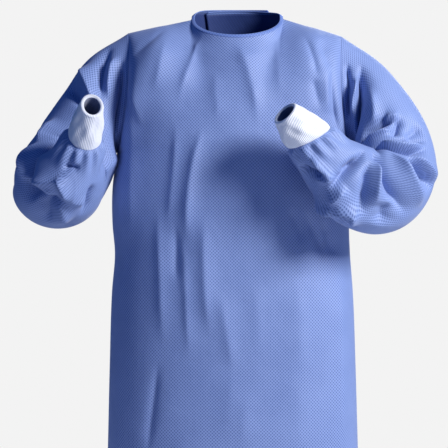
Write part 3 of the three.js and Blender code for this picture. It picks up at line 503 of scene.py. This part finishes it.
# %% Creases and gathers of the sleeves
RIGHT_CREASES = table(
    CREASE,
    (18, 32, 24, 6, 0, 12, 5, 3, -8),
    (50, 36, 54, -34, -5, 6, 20, 4, -18),
    (42, 22, 28, -16, 0, 8, 12, 4, 10),
    (10, -24, 22, 8, 0, 7, 7, 3, -10),
    (150, -36, 172, 20, 0, 7, 16, 3, -16),
    (202, -20, 196, 16, 0, 9, 9, 3, 8),
    (156, 12, 172, 30, -4, 10, 10, 4, 6),
    (168, 30, 214, 16, 0, 7, 12, 3, -10),
    (272, -14, 212, 60, -3, 6, 12, 3, -16),
    (300, -6, 232, 60, 3, 7, 8, 3, -14),
    (286, -2, 222, 58, 0, 7, 7, 3, 10),
    (272, 50, 254, 106, -3, 22, 5, 2, -16),
    (260, 50, 246, 106, -3, 6, 24, 3, 8),
    (380, 26, 304, 112, -5, 9, 16, 4, -15),
    (296, 36, 284, 110, 0, 16, 14, 5, 13),
    (386, 56, 360, 124, 0, 11, 9, 3, -11),
    (372, 40, 348, 104, 0, 12, 12, 5, 10),
    (410, 36, 418, 126, 0, 10, 7, 3, -14),
    (418, 54, 424, 98, 0, 7, 7, 3, -8),
    (400, 114, 400, 146, 0, 12, 12, 5, 10),
    (472, 128, 426, 118, 0, 9, 9, 3, 11),
    (464, 166, 438, 128, 0, 14, 6, 3, -16),
    (440, 150, 426, 118, 0, 9, 9, 4, 8),
    (404, 180, 366, 126, 0, 14, 16, 3, 14),
    (376, 162, 356, 146, 0, 8, 14, 3, -13),
    (366, 126, 356, 150, 0, 9, 9, 3, 11),
    (328, 102, 328, 134, 0, 14, 14, 5, -10),
    (210, 36, 188, 62, 0, 14, 14, 5, -8),
    (80, 20, 148, -2, 0, 18, 14, 6, 6),
    (120, 150, 226, 130, 0, 20, 20, 7, -11),
    (190, 210, 280, 170, 0, 20, 20, 7, -11),
    (312, 190, 378, 220, 0, 18, 18, 7, -11),
    (56, 120, 66, 190, 0, 18, 18, 7, -11),
    (430, 210, 440, 300, 0, 13, 13, 5, -10),
)
LEFT_CREASES = table(
    CREASE,
    (78, 66, 88, 14, 3, 26, 18, 3, 16),
    (114, 70, 116, 26, 0, 16, 6, 3, -13),
    (38, 66, 66, 14, 0, 10, 12, 4, -13),
    (30, 42, 50, 8, 0, 8, 8, 3, 10),
    (18, 30, 24, -38, 0, 10, 9, 4, -18),
    (178, 50, 262, 52, 0, 16, 8, 3, 10),
    (278, 54, 406, 154, -3, 16, 12, 3, 14),
    (338, 66, 372, 182, -9, 14, 24, 4, -22),
    (408, 150, 372, 182, 0, 26, 12, 3, 18),
    (374, 180, 378, 212, 0, 20, 10, 4, 10),
    (430, 146, 434, 180, 0, 9, 8, 3, -11),
    (366, 168, 342, 200, 0, 12, 14, 5, 11),
    (400, 218, 356, 218, 0, 14, 10, 4, -11),
    (344, 74, 348, 126, 0, 14, 8, 4, -13),
    (334, 100, 336, 138, 0, 12, 8, 4, -10),
    (356, 146, 334, 178, 0, 14, 14, 6, -10),
    (372, 150, 344, 150, 0, 14, 12, 5, 8),
    (136, 130, 232, 118, 0, 20, 20, 7, -11),
    (180, 200, 270, 176, 0, 20, 20, 7, -11),
    (56, 130, 68, 200, 0, 18, 18, 7, -11),
    (420, 240, 428, 330, 0, 14, 14, 6, -10),
    (70, -56, 230, -44, 0, 20, 20, 8, 9),
    (190, 84, 300, 118, 0, 26, 26, 8, -11),
)


TURN_UNIT = 1.25
DEEPEN = {-1: 1.3, 1: 1.8}
SHARPEN = 0.65
CALM = 0.28
SEAM_CLEAR = 24
GATHERS = 11
GATHER_DEPTH = 3.4
PUFF = 4
GATHER_SEWN = 9
GATHER_FULL = 14
GATHER_LONG = 44


def sleeve_grid(sections, side, creases, rows=250, columns=160):
    """The sleeve with its creases, shallower where rings lie less than CALM apart for each
    millimetre of arm, and with gathers near the cuff: a wave round the arm whose pitch wanders.
    The second grid is the same sleeve without either."""
    length = arm_line(sections)["at"][-1]
    s = np.linspace(0, length, rows)
    turn = np.arange(columns) / columns * 2 * np.pi - np.pi / 2
    tube, out = sleeve_tube(sections, side, s, turn)
    left = (length - s)[:, None]
    ends = smooth(s[:, None] / SEAM_CLEAR) * smooth(left / SEAM_CLEAR)
    spacing = np.linalg.norm(np.gradient(tube, s, axis=0), axis=2)
    calm = smooth(spacing / CALM)
    slim = {name: creases[name] * SHARPEN for name in ("soft", "right", "left")}
    crisp = creases | slim | {"depth": creases["depth"] * DEEPEN[side]}
    fold = creased(crisp, s[:, None], np.degrees(turn)[None] * TURN_UNIT, TURN_UNIT) * ends * calm
    wander = 0.9 * np.sin(2 * turn) + 0.5 * np.sin(3 * turn + 1)
    uneven = np.cos(GATHERS * turn + wander)
    near_cuff = smooth(left / GATHER_SEWN) * (1 - smooth((left - GATHER_FULL) / GATHER_LONG))
    gathers = near_cuff * (uneven * GATHER_DEPTH + PUFF)
    grid = tube + out * (fold + gathers)[..., None]
    return (grid[:, ::-1], tube[:, ::-1]) if side > 0 else (grid, tube)


print("arm lengths, mm:", [round(arm_line(a)["at"][-1]) for a in (LEFT_ARM, RIGHT_ARM)])

# %% [markdown]
# ## Materials
#
# The gown's cloth is spun fibres pressed together at thousands of small diamond-set points,
# which show as a fine dotted lattice. It could be a picture texture, but then it would stretch
# and blur; worked out from the UV map it keeps its real 5 mm from dot to dot everywhere. Seen
# at a slant the dots would only flicker, so there they give way to their average. The inner
# face is the same cloth painted in a much deeper blue: painted shade for the inside of the
# gown, seen through the neck.


# %% Shader helpers
def srgb(r, g, b):
    """Linear colour from 0-255 screen values: the curve that undoes the screen's gamma."""
    c = np.array([r, g, b]) / 255
    return (*np.where(c > 0.04045, ((c + 0.055) / 1.055) ** 2.4, c / 12.92).tolist(), 1)


def add(tree, kind, *inputs, **settings):
    """Node of the given kind, its first inputs linked or set in order; None skips one."""
    node = tree.nodes.new(kind)
    for key, value in settings.items():
        setattr(node, key, value)
    for socket, value in zip(node.inputs, inputs):
        if isinstance(value, bpy.types.NodeSocket):
            tree.links.new(value, socket)
        elif value is not None:
            socket.default_value = value
    return node


def maths(tree, operation, a, b=None, c=None):
    """Output of one Math node."""
    return add(tree, "ShaderNodeMath", a, b, c, operation=operation).outputs[0]


def group(name, inputs, outputs):
    """Empty node group with number or colour sockets, and its two end nodes."""
    tree = bpy.data.node_groups.new(name, "ShaderNodeTree")
    for label, kind in inputs:
        tree.interface.new_socket(label, in_out="INPUT", socket_type=kind)
    for label, kind in outputs:
        tree.interface.new_socket(label, in_out="OUTPUT", socket_type=kind)
    return tree, tree.nodes.new("NodeGroupInput").outputs, tree.nodes.new("NodeGroupOutput")


def cloth_place(tree):
    """The two UV sockets: how far across and along the cloth, in metres."""
    uv = add(tree, "ShaderNodeUVMap", uv_map="cloth").outputs[0]
    return add(tree, "ShaderNodeSeparateXYZ", uv).outputs[:2]


def bond_lattice():
    """Dots where sin(2 pi u / pitch) * sin(2 pi v / pitch) is high: two to a square of one
    pitch, which sets them as diamonds."""
    number = "NodeSocketFloat"
    tree, given, end = group("bond lattice", [("Pitch", number)], [("Dots", number)])
    u, v = cloth_place(tree)
    turns = maths(tree, "DIVIDE", 2 * math.pi, given["Pitch"])
    one = maths(tree, "SINE", maths(tree, "MULTIPLY", u, turns))
    two = maths(tree, "SINE", maths(tree, "MULTIPLY", v, turns))
    dots = add(tree, "ShaderNodeMapRange", maths(tree, "MULTIPLY", one, two), -0.1, 0.5)
    tree.links.new(dots.outputs[0], end.inputs["Dots"])
    return tree


# %% [markdown]
# The nonwoven's colour goes from its face to its dots, with a slow blotch on top, and its bump
# is two sizes of crumple less the pressed dots. The knit's colour and bump both follow one wave
# across the cuff, the colour darker in its valleys as painted shade, and a finer, lower wave
# along it makes the loops.

# %% The two cloths and their colours
LATTICE = bond_lattice()
BOND_PITCH = 0.0068
BOND_AVERAGE = 0.4
BOND_DEPTH = 0.06 * MM
BLOTCH = 0.09
BROAD_CRUMPLE = (0.055, 1.6 * MM)
FINE_CRUMPLE = (0.014, 0.35 * MM)


def place_noise(tree, size, detail):
    """Noise of one blotch size in metres, from the object's own coordinates."""
    where = add(tree, "ShaderNodeTexCoord").outputs["Object"]
    return add(tree, "ShaderNodeTexNoise", where, None, 1 / size, detail, 0.5).outputs[0]


def clear_dots(tree, dots):
    """The dots where the cloth faces the eye, their average where it turns away."""
    away = add(tree, "ShaderNodeLayerWeight", 0.5).outputs["Facing"]
    clear = add(tree, "ShaderNodeMapRange", away, 0.85, 0.3).outputs[0]
    over = maths(tree, "SUBTRACT", dots, BOND_AVERAGE)
    return maths(tree, "MULTIPLY_ADD", over, clear, BOND_AVERAGE)


def bumped(tree, shader, height):
    """Shader's normal from a height in metres."""
    bump = add(tree, "ShaderNodeBump")
    bump.inputs["Distance"].default_value = 1.0
    bump.inputs["Strength"].default_value = 1.0
    tree.links.new(height, bump.inputs["Height"])
    tree.links.new(bump.outputs[0], shader.inputs["Normal"])


def two_colours(tree, shader, share, low, high):
    """Shader's base colour: low where share is 0, high where it is 1."""
    colour = add(tree, "ShaderNodeMix", data_type="RGBA")
    tree.links.new(share, colour.inputs["Factor"])
    colour.inputs["A"].default_value = low
    colour.inputs["B"].default_value = high
    tree.links.new(colour.outputs["Result"], shader.inputs["Base Color"])


def nonwoven(name, face, dot, roughness, crumple=1.0):
    """Bonded cloth: the face colour, darker bonds and soft crumples in the bump."""
    material = bpy.data.materials.new(name)
    material.use_nodes = True
    tree = material.node_tree
    shader = tree.nodes["Principled BSDF"]
    lattice = add(tree, "ShaderNodeGroup", node_tree=LATTICE)
    lattice.inputs["Pitch"].default_value = BOND_PITCH
    dots = lattice.outputs["Dots"]
    tone = maths(tree, "MULTIPLY", place_noise(tree, BLOTCH, 3), 0.3)
    share = maths(tree, "MULTIPLY_ADD", clear_dots(tree, dots), 0.75, tone)
    two_colours(tree, shader, share, face, dot)
    shader.inputs["Roughness"].default_value = roughness
    shader.inputs["Sheen Weight"].default_value = 0.15
    shader.inputs["Sheen Roughness"].default_value = 0.4
    (wide, high), (narrow, low) = BROAD_CRUMPLE, FINE_CRUMPLE
    broad = maths(tree, "MULTIPLY", place_noise(tree, wide, 2), high * crumple)
    fine = maths(tree, "MULTIPLY_ADD", place_noise(tree, narrow, 2), low * crumple, broad)
    bumped(tree, shader, maths(tree, "MULTIPLY_ADD", dots, -BOND_DEPTH, fine))
    return material


RIB_HEIGHT = 0.7 * MM
LOOP_HEIGHT = 0.12 * MM
LOOP_SHARE = 0.6


def rib_knit(name, face, groove_shade, pitch):
    """Knit ribs that run along the cuff: a wave across it, its valleys painted darker as painted
    shade.
    """
    material = bpy.data.materials.new(name)
    material.use_nodes = True
    tree = material.node_tree
    shader = tree.nodes["Principled BSDF"]
    u, v = cloth_place(tree)
    wave = maths(tree, "SINE", maths(tree, "MULTIPLY", u, 2 * math.pi / pitch))
    loops = maths(tree, "SINE", maths(tree, "MULTIPLY", v, 2 * math.pi / (LOOP_SHARE * pitch)))
    rib = maths(tree, "MULTIPLY_ADD", wave, 0.5, 0.5)
    # painted shade: the valleys of the ribs take the darker of the two colours
    two_colours(tree, shader, rib, groove_shade, face)
    shader.inputs["Roughness"].default_value = 0.9
    shader.inputs["Sheen Weight"].default_value = 0.3
    ribs = maths(tree, "MULTIPLY", rib, RIB_HEIGHT)
    bumped(tree, shader, maths(tree, "MULTIPLY_ADD", loops, LOOP_HEIGHT, ribs))
    return material


KNIT_PITCH = 0.0032
TAPE_PITCH = 0.0012
blue_cloth = nonwoven("blue nonwoven", srgb(143, 164, 214), srgb(70, 94, 152), 0.62)
# inner faces: the same cloth painted a much deeper blue, as painted shade for the inside of the
# gown
shaded_inner_cloth = nonwoven("inner face of the nonwoven in painted shade", srgb(34, 58, 120), srgb(24, 46, 102), 0.7)
binding_cloth = nonwoven("binding strip", srgb(118, 144, 206), srgb(84, 108, 172), 0.6, 0.3)
tie_cloth = nonwoven("tie strip", srgb(129, 152, 212), srgb(90, 114, 178), 0.62, 0.5)
# the second colour of each knit below, the tape's too, is painted shade in its rib valleys
white_knit = rib_knit("white rib knit", srgb(250, 251, 254), srgb(226, 232, 246), KNIT_PITCH)
# the folded-in half of each cuff: the white knit painted grey-blue, as painted shade for the inside
# of the cuff
folded_shade_face, folded_shade_groove = srgb(120, 132, 170), srgb(84, 96, 136)
shaded_inner_knit = rib_knit("folded-in half of the knit in painted shade", folded_shade_face, folded_shade_groove, KNIT_PITCH)
tape = rib_knit("hook and loop tape", srgb(228, 232, 242), srgb(205, 210, 225), TAPE_PITCH)
print("materials:", [m.name for m in bpy.data.materials])

# %% [markdown]
# ## Front and back
#
# The front is one panel. The back is two that lap: the half on the viewer's left in a front
# view lies on top. On the table each would be a trapezium with an armhole cut out. Here they
# are the body form, raised along its own normal by the creases, with the lapping edges moved
# apart by a few millimetres. A sleeve is cut on the bias, so its lattice is turned by half a
# right angle.

# %% The body panels
LAP = 0.22
LAP_OFFSET = 3.0
CLOTH_THICK = 1.0
SLEEVE_GRAIN = 45
SEAM_FADE = 0.22
ALL_OF_NECK = 1.8
SLOPE_STEP = 0.004
LOW_ROWS = 130
HIGH_ROWS = 90
FRONT_COLUMNS = 181
BACK_COLUMNS = 111


def lap_move(p, layer):
    """How far a back half stands out (layer 1) or in (layer -1) where the halves lap."""
    return layer * LAP_OFFSET * smooth((NECK_SHARE + layer * p) / (NECK_SHARE - LAP))


def body_normal(p, v, face):
    """Cross product of small steps along the column and the row."""
    p_on, p_back = np.minimum(p + SLOPE_STEP, 1), np.maximum(p - SLOPE_STEP, -1)
    v_on, v_back = np.minimum(v + SLOPE_STEP, 2), np.maximum(v - SLOPE_STEP, 0)
    right = body(p_on, v, face) - body(p_back, v, face)
    up = body(p, v_on, face) - body(p, v_back, face)
    return unit(np.cross(right, up)) * -face


def draped(p, v, face, creases, lift):
    """Body form plus creases along its normal, plus lift, which leans in at the neck."""
    p, v = np.broadcast_arrays(np.asarray(p, float), np.asarray(v, float))
    base, out = body(p, v, face), body_normal(p, v, face)
    seam = smooth((1 - np.abs(p)) / SEAM_FADE) * smooth((2 - v) / SEAM_FADE)
    fold = creased(creases, base[..., 0], base[..., 2]) * seam
    near_neck = smooth((v - ALL_OF_NECK) / (2 - ALL_OF_NECK))
    lean = mix(out, neck_lean(p, face)[0], near_neck[..., None])
    return base + out * fold[..., None] + lean * np.asarray(lift)[..., None]


def body_panel(name, p, face, creases, lift):
    """One panel between two columns; a back panel's columns run the other way."""
    low, high = np.linspace(0, 1, LOW_ROWS, endpoint=False), np.linspace(1, 2, HIGH_ROWS)
    v = np.concatenate([low, high])
    grid = draped(p[None], v[:, None], face, creases, lift(p)[None] + 0 * v[:, None])
    plain = body(p[None], v[:, None], face)
    if face > 0:
        grid, plain = grid[:, ::-1], plain[:, ::-1]
    return cloth_mesh(name, grid, [blue_cloth, shaded_inner_cloth], CLOTH_THICK, smooth_grid=plain)


def sleeve(name, sections, side, creases):
    """One sleeve, closed round the arm, its lattice on the bias."""
    grid, plain = sleeve_grid(sections, side, creases)
    both = [blue_cloth, shaded_inner_cloth]
    return cloth_mesh(name, grid, both, CLOTH_THICK, True, plain, SLEEVE_GRAIN)


front_p = np.linspace(-1, 1, FRONT_COLUMNS)
left_p = np.linspace(-1, LAP, BACK_COLUMNS)
right_p = np.linspace(-LAP, 1, BACK_COLUMNS)
front = body_panel("front_cloth", front_p, -1, FRONT_CREASES, lambda p: 0 * p)
back_left = body_panel("left_back_cloth", left_p, 1, BACK_CREASES, lambda p: lap_move(p, 1))
back_right = body_panel("right_back_cloth", right_p, 1, BACK_CREASES, lambda p: lap_move(p, -1))
sleeve_left = sleeve("left_sleeve_cloth", LEFT_ARM, -1, LEFT_CREASES)
sleeve_right = sleeve("right_sleeve_cloth", RIGHT_ARM, 1, RIGHT_CREASES)

# %% [markdown]
# ## Cuffs
#
# A cuff is a tube of rib knit folded back into itself, so it is double, and its rim is a soft
# roll and not a cut edge. It is shorter round than the sleeve that is gathered onto it, and
# the knit gives, so it bulges just above that seam. One grid makes all of it: up the outside,
# over the roll and back down the inside.

# %% The cuffs
CUFF_ROWS = 50
CUFF_COLUMNS = 128
ROLL_ROWS = 10
INSIDE_ROWS = 30
CUFF_THICK = 2.2
CUFF_ROLL = 2.8
CUFF_INSIDE = 0.75
CUFF_TURN = 16
SLANTS = ((1.3, 5, 6, 1), (0.9, 9, -7, 0))
CUFFS = {
    -1: dict(rim=(-281, -262, -208), faces=(0.34, -0.84, 0.42), across=26, along=23, bulge=2),
    1: dict(rim=(101, -245, -222), faces=(-0.67, -0.36, 0.64), across=27, along=31, bulge=5),
}


def cuff_grid(sections, side):
    """Outside: lines from the sleeve's last ring to the rim's oval, curved so that they reach
    the rim square, pushed out by the bulge and two slanting waves. Rim: half a circle. Inside:
    back towards the seam."""
    cuff = CUFFS[side]
    rim, run = np.array(cuff["rim"]), unit(np.array(cuff["faces"]))
    end = arm_line(sections)["at"][-1:]
    turn = np.arange(CUFF_COLUMNS) / CUFF_COLUMNS * 2 * np.pi
    centre, _, front, top = (a[0] for a in arm_frame(arm_line(sections), end, side))
    base = sleeve_tube(sections, side, end, turn)[0][0]
    high = unit(top - run * (top @ run))
    level = np.cross(run, high) * -side
    level = level * np.sign(level @ front) * cuff["across"]
    high = high * cuff["along"]
    flat = level * np.cos(turn)[:, None] + high * np.sin(turn)[:, None]
    radial, edge = unit(flat), rim + flat
    bend = (run - unit(rim - centre)) * CUFF_TURN

    u = np.linspace(0, 1, CUFF_ROWS)[:, None]
    bulge = cuff["bulge"] * np.sin(np.pi * u**0.6)
    waves = [a * np.cos(count * turn + slant * u + lag * side) for a, count, slant, lag in SLANTS]
    folds = np.sin(np.pi * u) * sum(waves)
    u = u[..., None]
    outside = mix(base, edge, u) + bend * u * (u - 1) + radial * (bulge + folds)[..., None]
    roll = np.linspace(0, np.pi, ROLL_ROWS + 2)[1:-1, None, None]
    over = edge + run * CUFF_ROLL * np.sin(roll) - radial * CUFF_ROLL * (1 - np.cos(roll))
    w = np.linspace(0, CUFF_INSIDE, INSIDE_ROWS)[:, None, None]
    inside = mix(edge, base, w) + bend * w * (w - 1) - radial * 2 * CUFF_ROLL
    grid = np.concatenate([outside, over, inside])
    return grid[:, ::-1] if side > 0 else grid


def knit_cuff(name, sections, side):
    """Cuff whose folded-in half takes the knit painted dark, as painted shade for the inside of the
    cuff.
    """
    piece = cloth_mesh(name, cuff_grid(sections, side), [white_knit], CUFF_THICK, True)
    piece.data.materials.append(shaded_inner_knit)
    row = np.arange(len(piece.data.polygons)) // CUFF_COLUMNS
    folded_in = (row >= CUFF_ROWS + ROLL_ROWS - 1).astype(np.int32)
    piece.data.polygons.foreach_set("material_index", folded_in)
    return piece


cuff_left = knit_cuff("left_cuff_knit", LEFT_ARM, -1)
cuff_right = knit_cuff("right_cuff_knit", RIGHT_ARM, 1)

# %% [markdown]
# ## Neck binding
#
# The neck edge is finished with a strip folded over it and stitched down. It follows the
# neckline all the way round and its ends lap at the back.

# %% The binding
BINDING_THICK = 2.0
BINDING_ROLL = 0.5
BINDING_ROWS = 12
HALF_BACK_POINTS = 60
FRONT_POINTS = 121


def binding_grid():
    """Rows from the neckline up to the fold, along the back, the front and the back again."""
    near = np.linspace(-NECK_SHARE, LAP, HALF_BACK_POINTS)
    across = np.linspace(-NECK_SHARE, NECK_SHARE, FRONT_POINTS)[1:-1]
    p = np.concatenate([near[::-1], across, -near])
    face = np.concatenate([near * 0 + 1, across * 0 - 1, near * 0 + 1])
    lift = np.concatenate([lap_move(near[::-1], 1), across * 0, lap_move(-near, -1)])
    edge = np.where(face[:, None] < 0, top_edge(p, -1), top_edge(p, 1))
    normal, rise = neck_lean(p, face)
    u = np.linspace(0, 1, BINDING_ROWS)[:, None, None]
    roll = BINDING_ROLL * np.sin(np.pi * u)
    return edge + normal * (lift[:, None] + roll) + rise * BINDING_WIDTH * u


binding = cloth_mesh("neck_binding_strip", binding_grid(), [binding_cloth], BINDING_THICK)

# %% [markdown]
# ## Tab, ties and knot on the back
#
# A tab closes the neck and two ties hold the lap at the waist, knotted in the middle. They lie
# on the back, so each is a strip of places on it, moved out by a few millimetres.

# %% Places on the back
HALVINGS = 24
STRIP_COLUMNS = 13
TAB = {"from": -12, "to": 46, "low": -34, "high": -8}
TAB_STAND = 2.4
TAB_THICK = 1.4
TIE_HEIGHT = -490
TIE_WIDE = 24
TIE_THICK = 1.2
SEAM_STAND = 2.1
TIE_STAND = {-1: 3.1, 1: 5.1}
TIE_RISE = 40
TIE_REACH = 226
TIE_TURN = 18
TIE_DROP = 180
TIE_SPREAD = 16
TIE_POINTS = (70, 14, 60)
PINCH_SHARE = 0.3
PINCH_REACH = 26


def row_at(p, z):
    """Row of the back at the height z, halved in on where the form rises to the shoulders."""
    low, high = np.ones(p.shape), np.full(p.shape, 2.0)
    for _ in range(HALVINGS):
        v = (low + high) / 2
        under = body(p, v, 1)[..., 2] < z
        low, high = np.where(under, v, low), np.where(under, high, v)
    return np.where(z < UNDERARM, (z - HEM) / (UNDERARM - HEM), v)


def on_back(x, z, lift):
    """Point of the lapped back at (x, z), moved out by lift: the column is halved in on."""
    low, high = np.full(x.shape, -1.0), np.ones(x.shape)
    for _ in range(HALVINGS):
        p = (low + high) / 2
        v = row_at(p, z)
        less = body(p, v, 1)[..., 0] < x
        low, high = np.where(less, p, low), np.where(less, high, p)
    cover = lap_move(-np.abs(p), 1)
    off = body_normal(p, v, 1) * np.asarray(lift)[..., None]
    return draped(p, v, 1, BACK_CREASES, cover) + off


def back_strip(name, x, z, wide, lift, materials, thick):
    """Strip along the line (x, z), its width square to the line."""
    run = unit(np.stack([np.gradient(x), np.gradient(z)], -1))
    share = np.linspace(-0.5, 0.5, STRIP_COLUMNS)[:, None] * wide
    grid = on_back(x + run[:, 1] * share, z - run[:, 0] * share, lift + 0 * share)
    return cloth_mesh(name, grid[:, ::-1], materials, thick)


def tie_line(side):
    """From the side seam to the middle, a quarter turn down, then hanging and spreading."""
    across, quarter, down = TIE_POINTS
    far = np.linspace(TIE_REACH, 0, across)[:-1] * side
    angle = np.linspace(0, np.pi / 2, quarter)
    u = np.linspace(0, 1, down)[1:]
    turn_x, turn_z = -side * TIE_TURN * np.sin(angle), -TIE_TURN * (1 - np.cos(angle))
    hang_x, hang_z = -side * (TIE_TURN + TIE_SPREAD * u**1.5), -TIE_TURN - TIE_DROP * u
    x = np.concatenate([far, turn_x, hang_x])
    return x, TIE_HEIGHT + np.concatenate([0 * far, turn_z, hang_z])


def tie(name, side):
    """A tie that rises from its side seam to lie under or over the other one, and is pinched
    where the knot holds it."""
    x, z = tie_line(side)
    off = mix(SEAM_STAND, TIE_STAND[side], smooth((TIE_REACH - np.abs(x)) / TIE_RISE))
    from_knot = np.hypot(x, z - TIE_HEIGHT) / PINCH_REACH
    wide = TIE_WIDE * (1 - PINCH_SHARE * np.exp(-(from_knot**2)))
    return back_strip(name, x, z, wide, off, [tie_cloth], TIE_THICK)


tab_x = np.linspace(TAB["from"], TAB["to"], 30)
tab_z = 0 * tab_x + (TAB["low"] + TAB["high"]) / 2
tab_wide = TAB["high"] - TAB["low"]
tab = back_strip("neck_tab_tape", tab_x, tab_z, tab_wide, TAB_STAND, [tape], TAB_THICK)
tie_left = tie("left_waist_tie", -1)
tie_right = tie("right_waist_tie", 1)

# %% [markdown]
# The knot is a small pad of the same strip. Its form is a ball, made squarer by a power and
# drawn out to its three sizes, with one slanting wave raised on it for the wrap.

# %% The knot
KNOT_STAND = 9.8
KNOT_SIZE = (9, 3.3, 16)
KNOT_SQUARE = 0.6
KNOT_POLE = 0.02
KNOT_ROWS = 40
KNOT_COLUMNS = 64
WRAP_HEIGHT = 0.1
WRAP_PITCH = 5
WRAP_SLANT = 1.6


def knot_pad():
    """Rings round an upright line: size sin(level) ^ 0.6, swollen by the slanting wrap."""
    centre = on_back(np.zeros(1), np.full(1, float(TIE_HEIGHT)), np.full(1, KNOT_STAND))[0]
    level = np.linspace(KNOT_POLE, np.pi - KNOT_POLE, KNOT_ROWS)[:, None]
    turn = np.linspace(0, 2 * np.pi, KNOT_COLUMNS + 1)[None, :-1]
    wide, deep, high = KNOT_SIZE
    size = np.sin(level) ** KNOT_SQUARE
    z = -high * np.cos(level) + 0 * turn
    wrap = 1 + WRAP_HEIGHT * np.cos(z / WRAP_PITCH + WRAP_SLANT * np.cos(turn))
    ring = np.stack([wide * size * wrap * np.cos(turn), deep * size * wrap * np.sin(turn), z], -1)
    return centre + ring


knot = cloth_mesh("waist_knot", knot_pad(), [tie_cloth], 0.4, True)

# %% [markdown]
# ## Fitting to the frame
#
# Each piece takes the place of its solid. The areas printed here are those of the surfaces as
# worn, and should be close to the cut.

# %% Pieces, nodes and cuts
def surface_area(piece):
    """Sum over the faces of the sheet before it is given a thickness, in square metres."""
    area = np.zeros(len(piece.data.polygons))
    piece.data.polygons.foreach_get("area", area)
    return float(area.sum())


def fit(piece, node, flat):
    print(f"{piece.name}: {surface_area(piece):.4f} m2 as worn, cut {flat}")
    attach(piece, "root")
    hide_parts(node)


fit(front, "front_panel", (0.72, 1.20))
fit(back_left, "back_panel_left", (0.45, 1.22))
fit(back_right, "back_panel_right", (0.45, 1.22))
fit(sleeve_left, "sleeve_left", (0.56, 0.50))
fit(sleeve_right, "sleeve_right", (0.56, 0.52))
fit(cuff_left, "cuff_left", (0.20, 0.12))
fit(cuff_right, "cuff_right", (0.20, 0.12))
fit(binding, "neck_binding", (0.62, 0.01))
fit(tab, "neck_tab", (0.058, 0.026))
fit(tie_left, "waist_tie_left", (0.45, 0.024))
fit(tie_right, "waist_tie_right", (0.45, 0.024))
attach(knot, "root")
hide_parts("waist_knot")

# %% [markdown]
# ## Camera
#
# A product photo of a garment is taken level with its middle and from far off, so that the
# sleeves don't swell. The lens follows from how wide a field is seen at that distance.

# %% Camera
CAMERA_DISTANCE = 3.2
HALF_FIELD = 0.47936
SENSOR = 36
camera = bpy.data.objects.new("camera", bpy.data.cameras.new("camera"))
bpy.context.scene.collection.objects.link(camera)
camera.location = (-0.0214, -CAMERA_DISTANCE, -0.439)
camera.rotation_euler = (math.pi / 2, 0, 0)
camera.data.sensor_width = SENSOR
camera.data.lens = SENSOR / 2 / (HALF_FIELD / CAMERA_DISTANCE)
camera.data.dof.use_dof = False
bpy.context.scene.camera = camera
bpy.context.scene.view_settings.view_transform = "Standard"

# %% [markdown]
# ## Light and floor
#
# The light is one large soft box high on the right, with a weak blue fill from all round. The
# sleeve's soft shadow on the body comes from that soft box alone. A weaker box behind the gown
# shows the back. The camera sees white paper where a ray that lights the gown meets the fill.

# %% Light and floor
MIDDLE = np.array([0.0, -0.1, -0.35])
FILL = (0.034, 0.086, 0.245, 1)
FLOOR_HALF = 1.7
FLOOR_HEIGHT = -1.214


def soft_box(name, azimuth, elevation, distance, wide, tall, watts, colour):
    """Area light, azimuth degrees to the right of the front, aimed at the gown's middle."""
    a, e = math.radians(azimuth), math.radians(elevation)
    way = np.array([math.sin(a) * math.cos(e), -math.cos(a) * math.cos(e), math.sin(e)])
    data = bpy.data.lights.new(name, "AREA")
    data.shape, data.size, data.size_y = "RECTANGLE", wide, tall
    data.energy, data.color = watts, colour
    light = bpy.data.objects.new(name, data)
    bpy.context.scene.collection.objects.link(light)
    light.location = MIDDLE + way * distance
    light.rotation_euler = (math.pi / 2 - e, 0, a)
    return light


soft_box("key", 55, 27, 3.0, 0.9, 0.9, 124, (1.0, 0.98, 0.97))
rear = soft_box("rear", 165, 25, 3.2, 1.6, 1.6, 50, (0.9, 0.94, 1.0))
rear.visible_camera = False

world = bpy.data.worlds.new("studio")
bpy.context.scene.world = world
world.use_nodes = True
sky = world.node_tree
sky.nodes.clear()
fill = add(sky, "ShaderNodeBackground", FILL, 1.0)
paper = add(sky, "ShaderNodeBackground", srgb(243, 243, 243), 1.0)
seen = add(sky, "ShaderNodeLightPath").outputs["Is Camera Ray"]
blend = add(sky, "ShaderNodeMixShader", seen, fill.outputs[0], paper.outputs[0])
add(sky, "ShaderNodeOutputWorld", blend.outputs[0])

around = ((-1, -1), (1, -1), (1, 1), (-1, 1))
corners = [(x * FLOOR_HALF, y * FLOOR_HALF, FLOOR_HEIGHT) for x, y in around]
floor_mesh = bpy.data.meshes.new("floor")
floor_mesh.from_pydata(corners, [], [(0, 1, 2, 3)])
floor = bpy.data.objects.new("floor", floor_mesh)
bpy.context.scene.collection.objects.link(floor)
floor_paint = bpy.data.materials.new("pale floor")
floor_paint.use_nodes = True
paint = floor_paint.node_tree.nodes["Principled BSDF"].inputs
paint["Base Color"].default_value = srgb(235, 236, 238)
paint["Roughness"].default_value = 0.8
floor_mesh.materials.append(floor_paint)
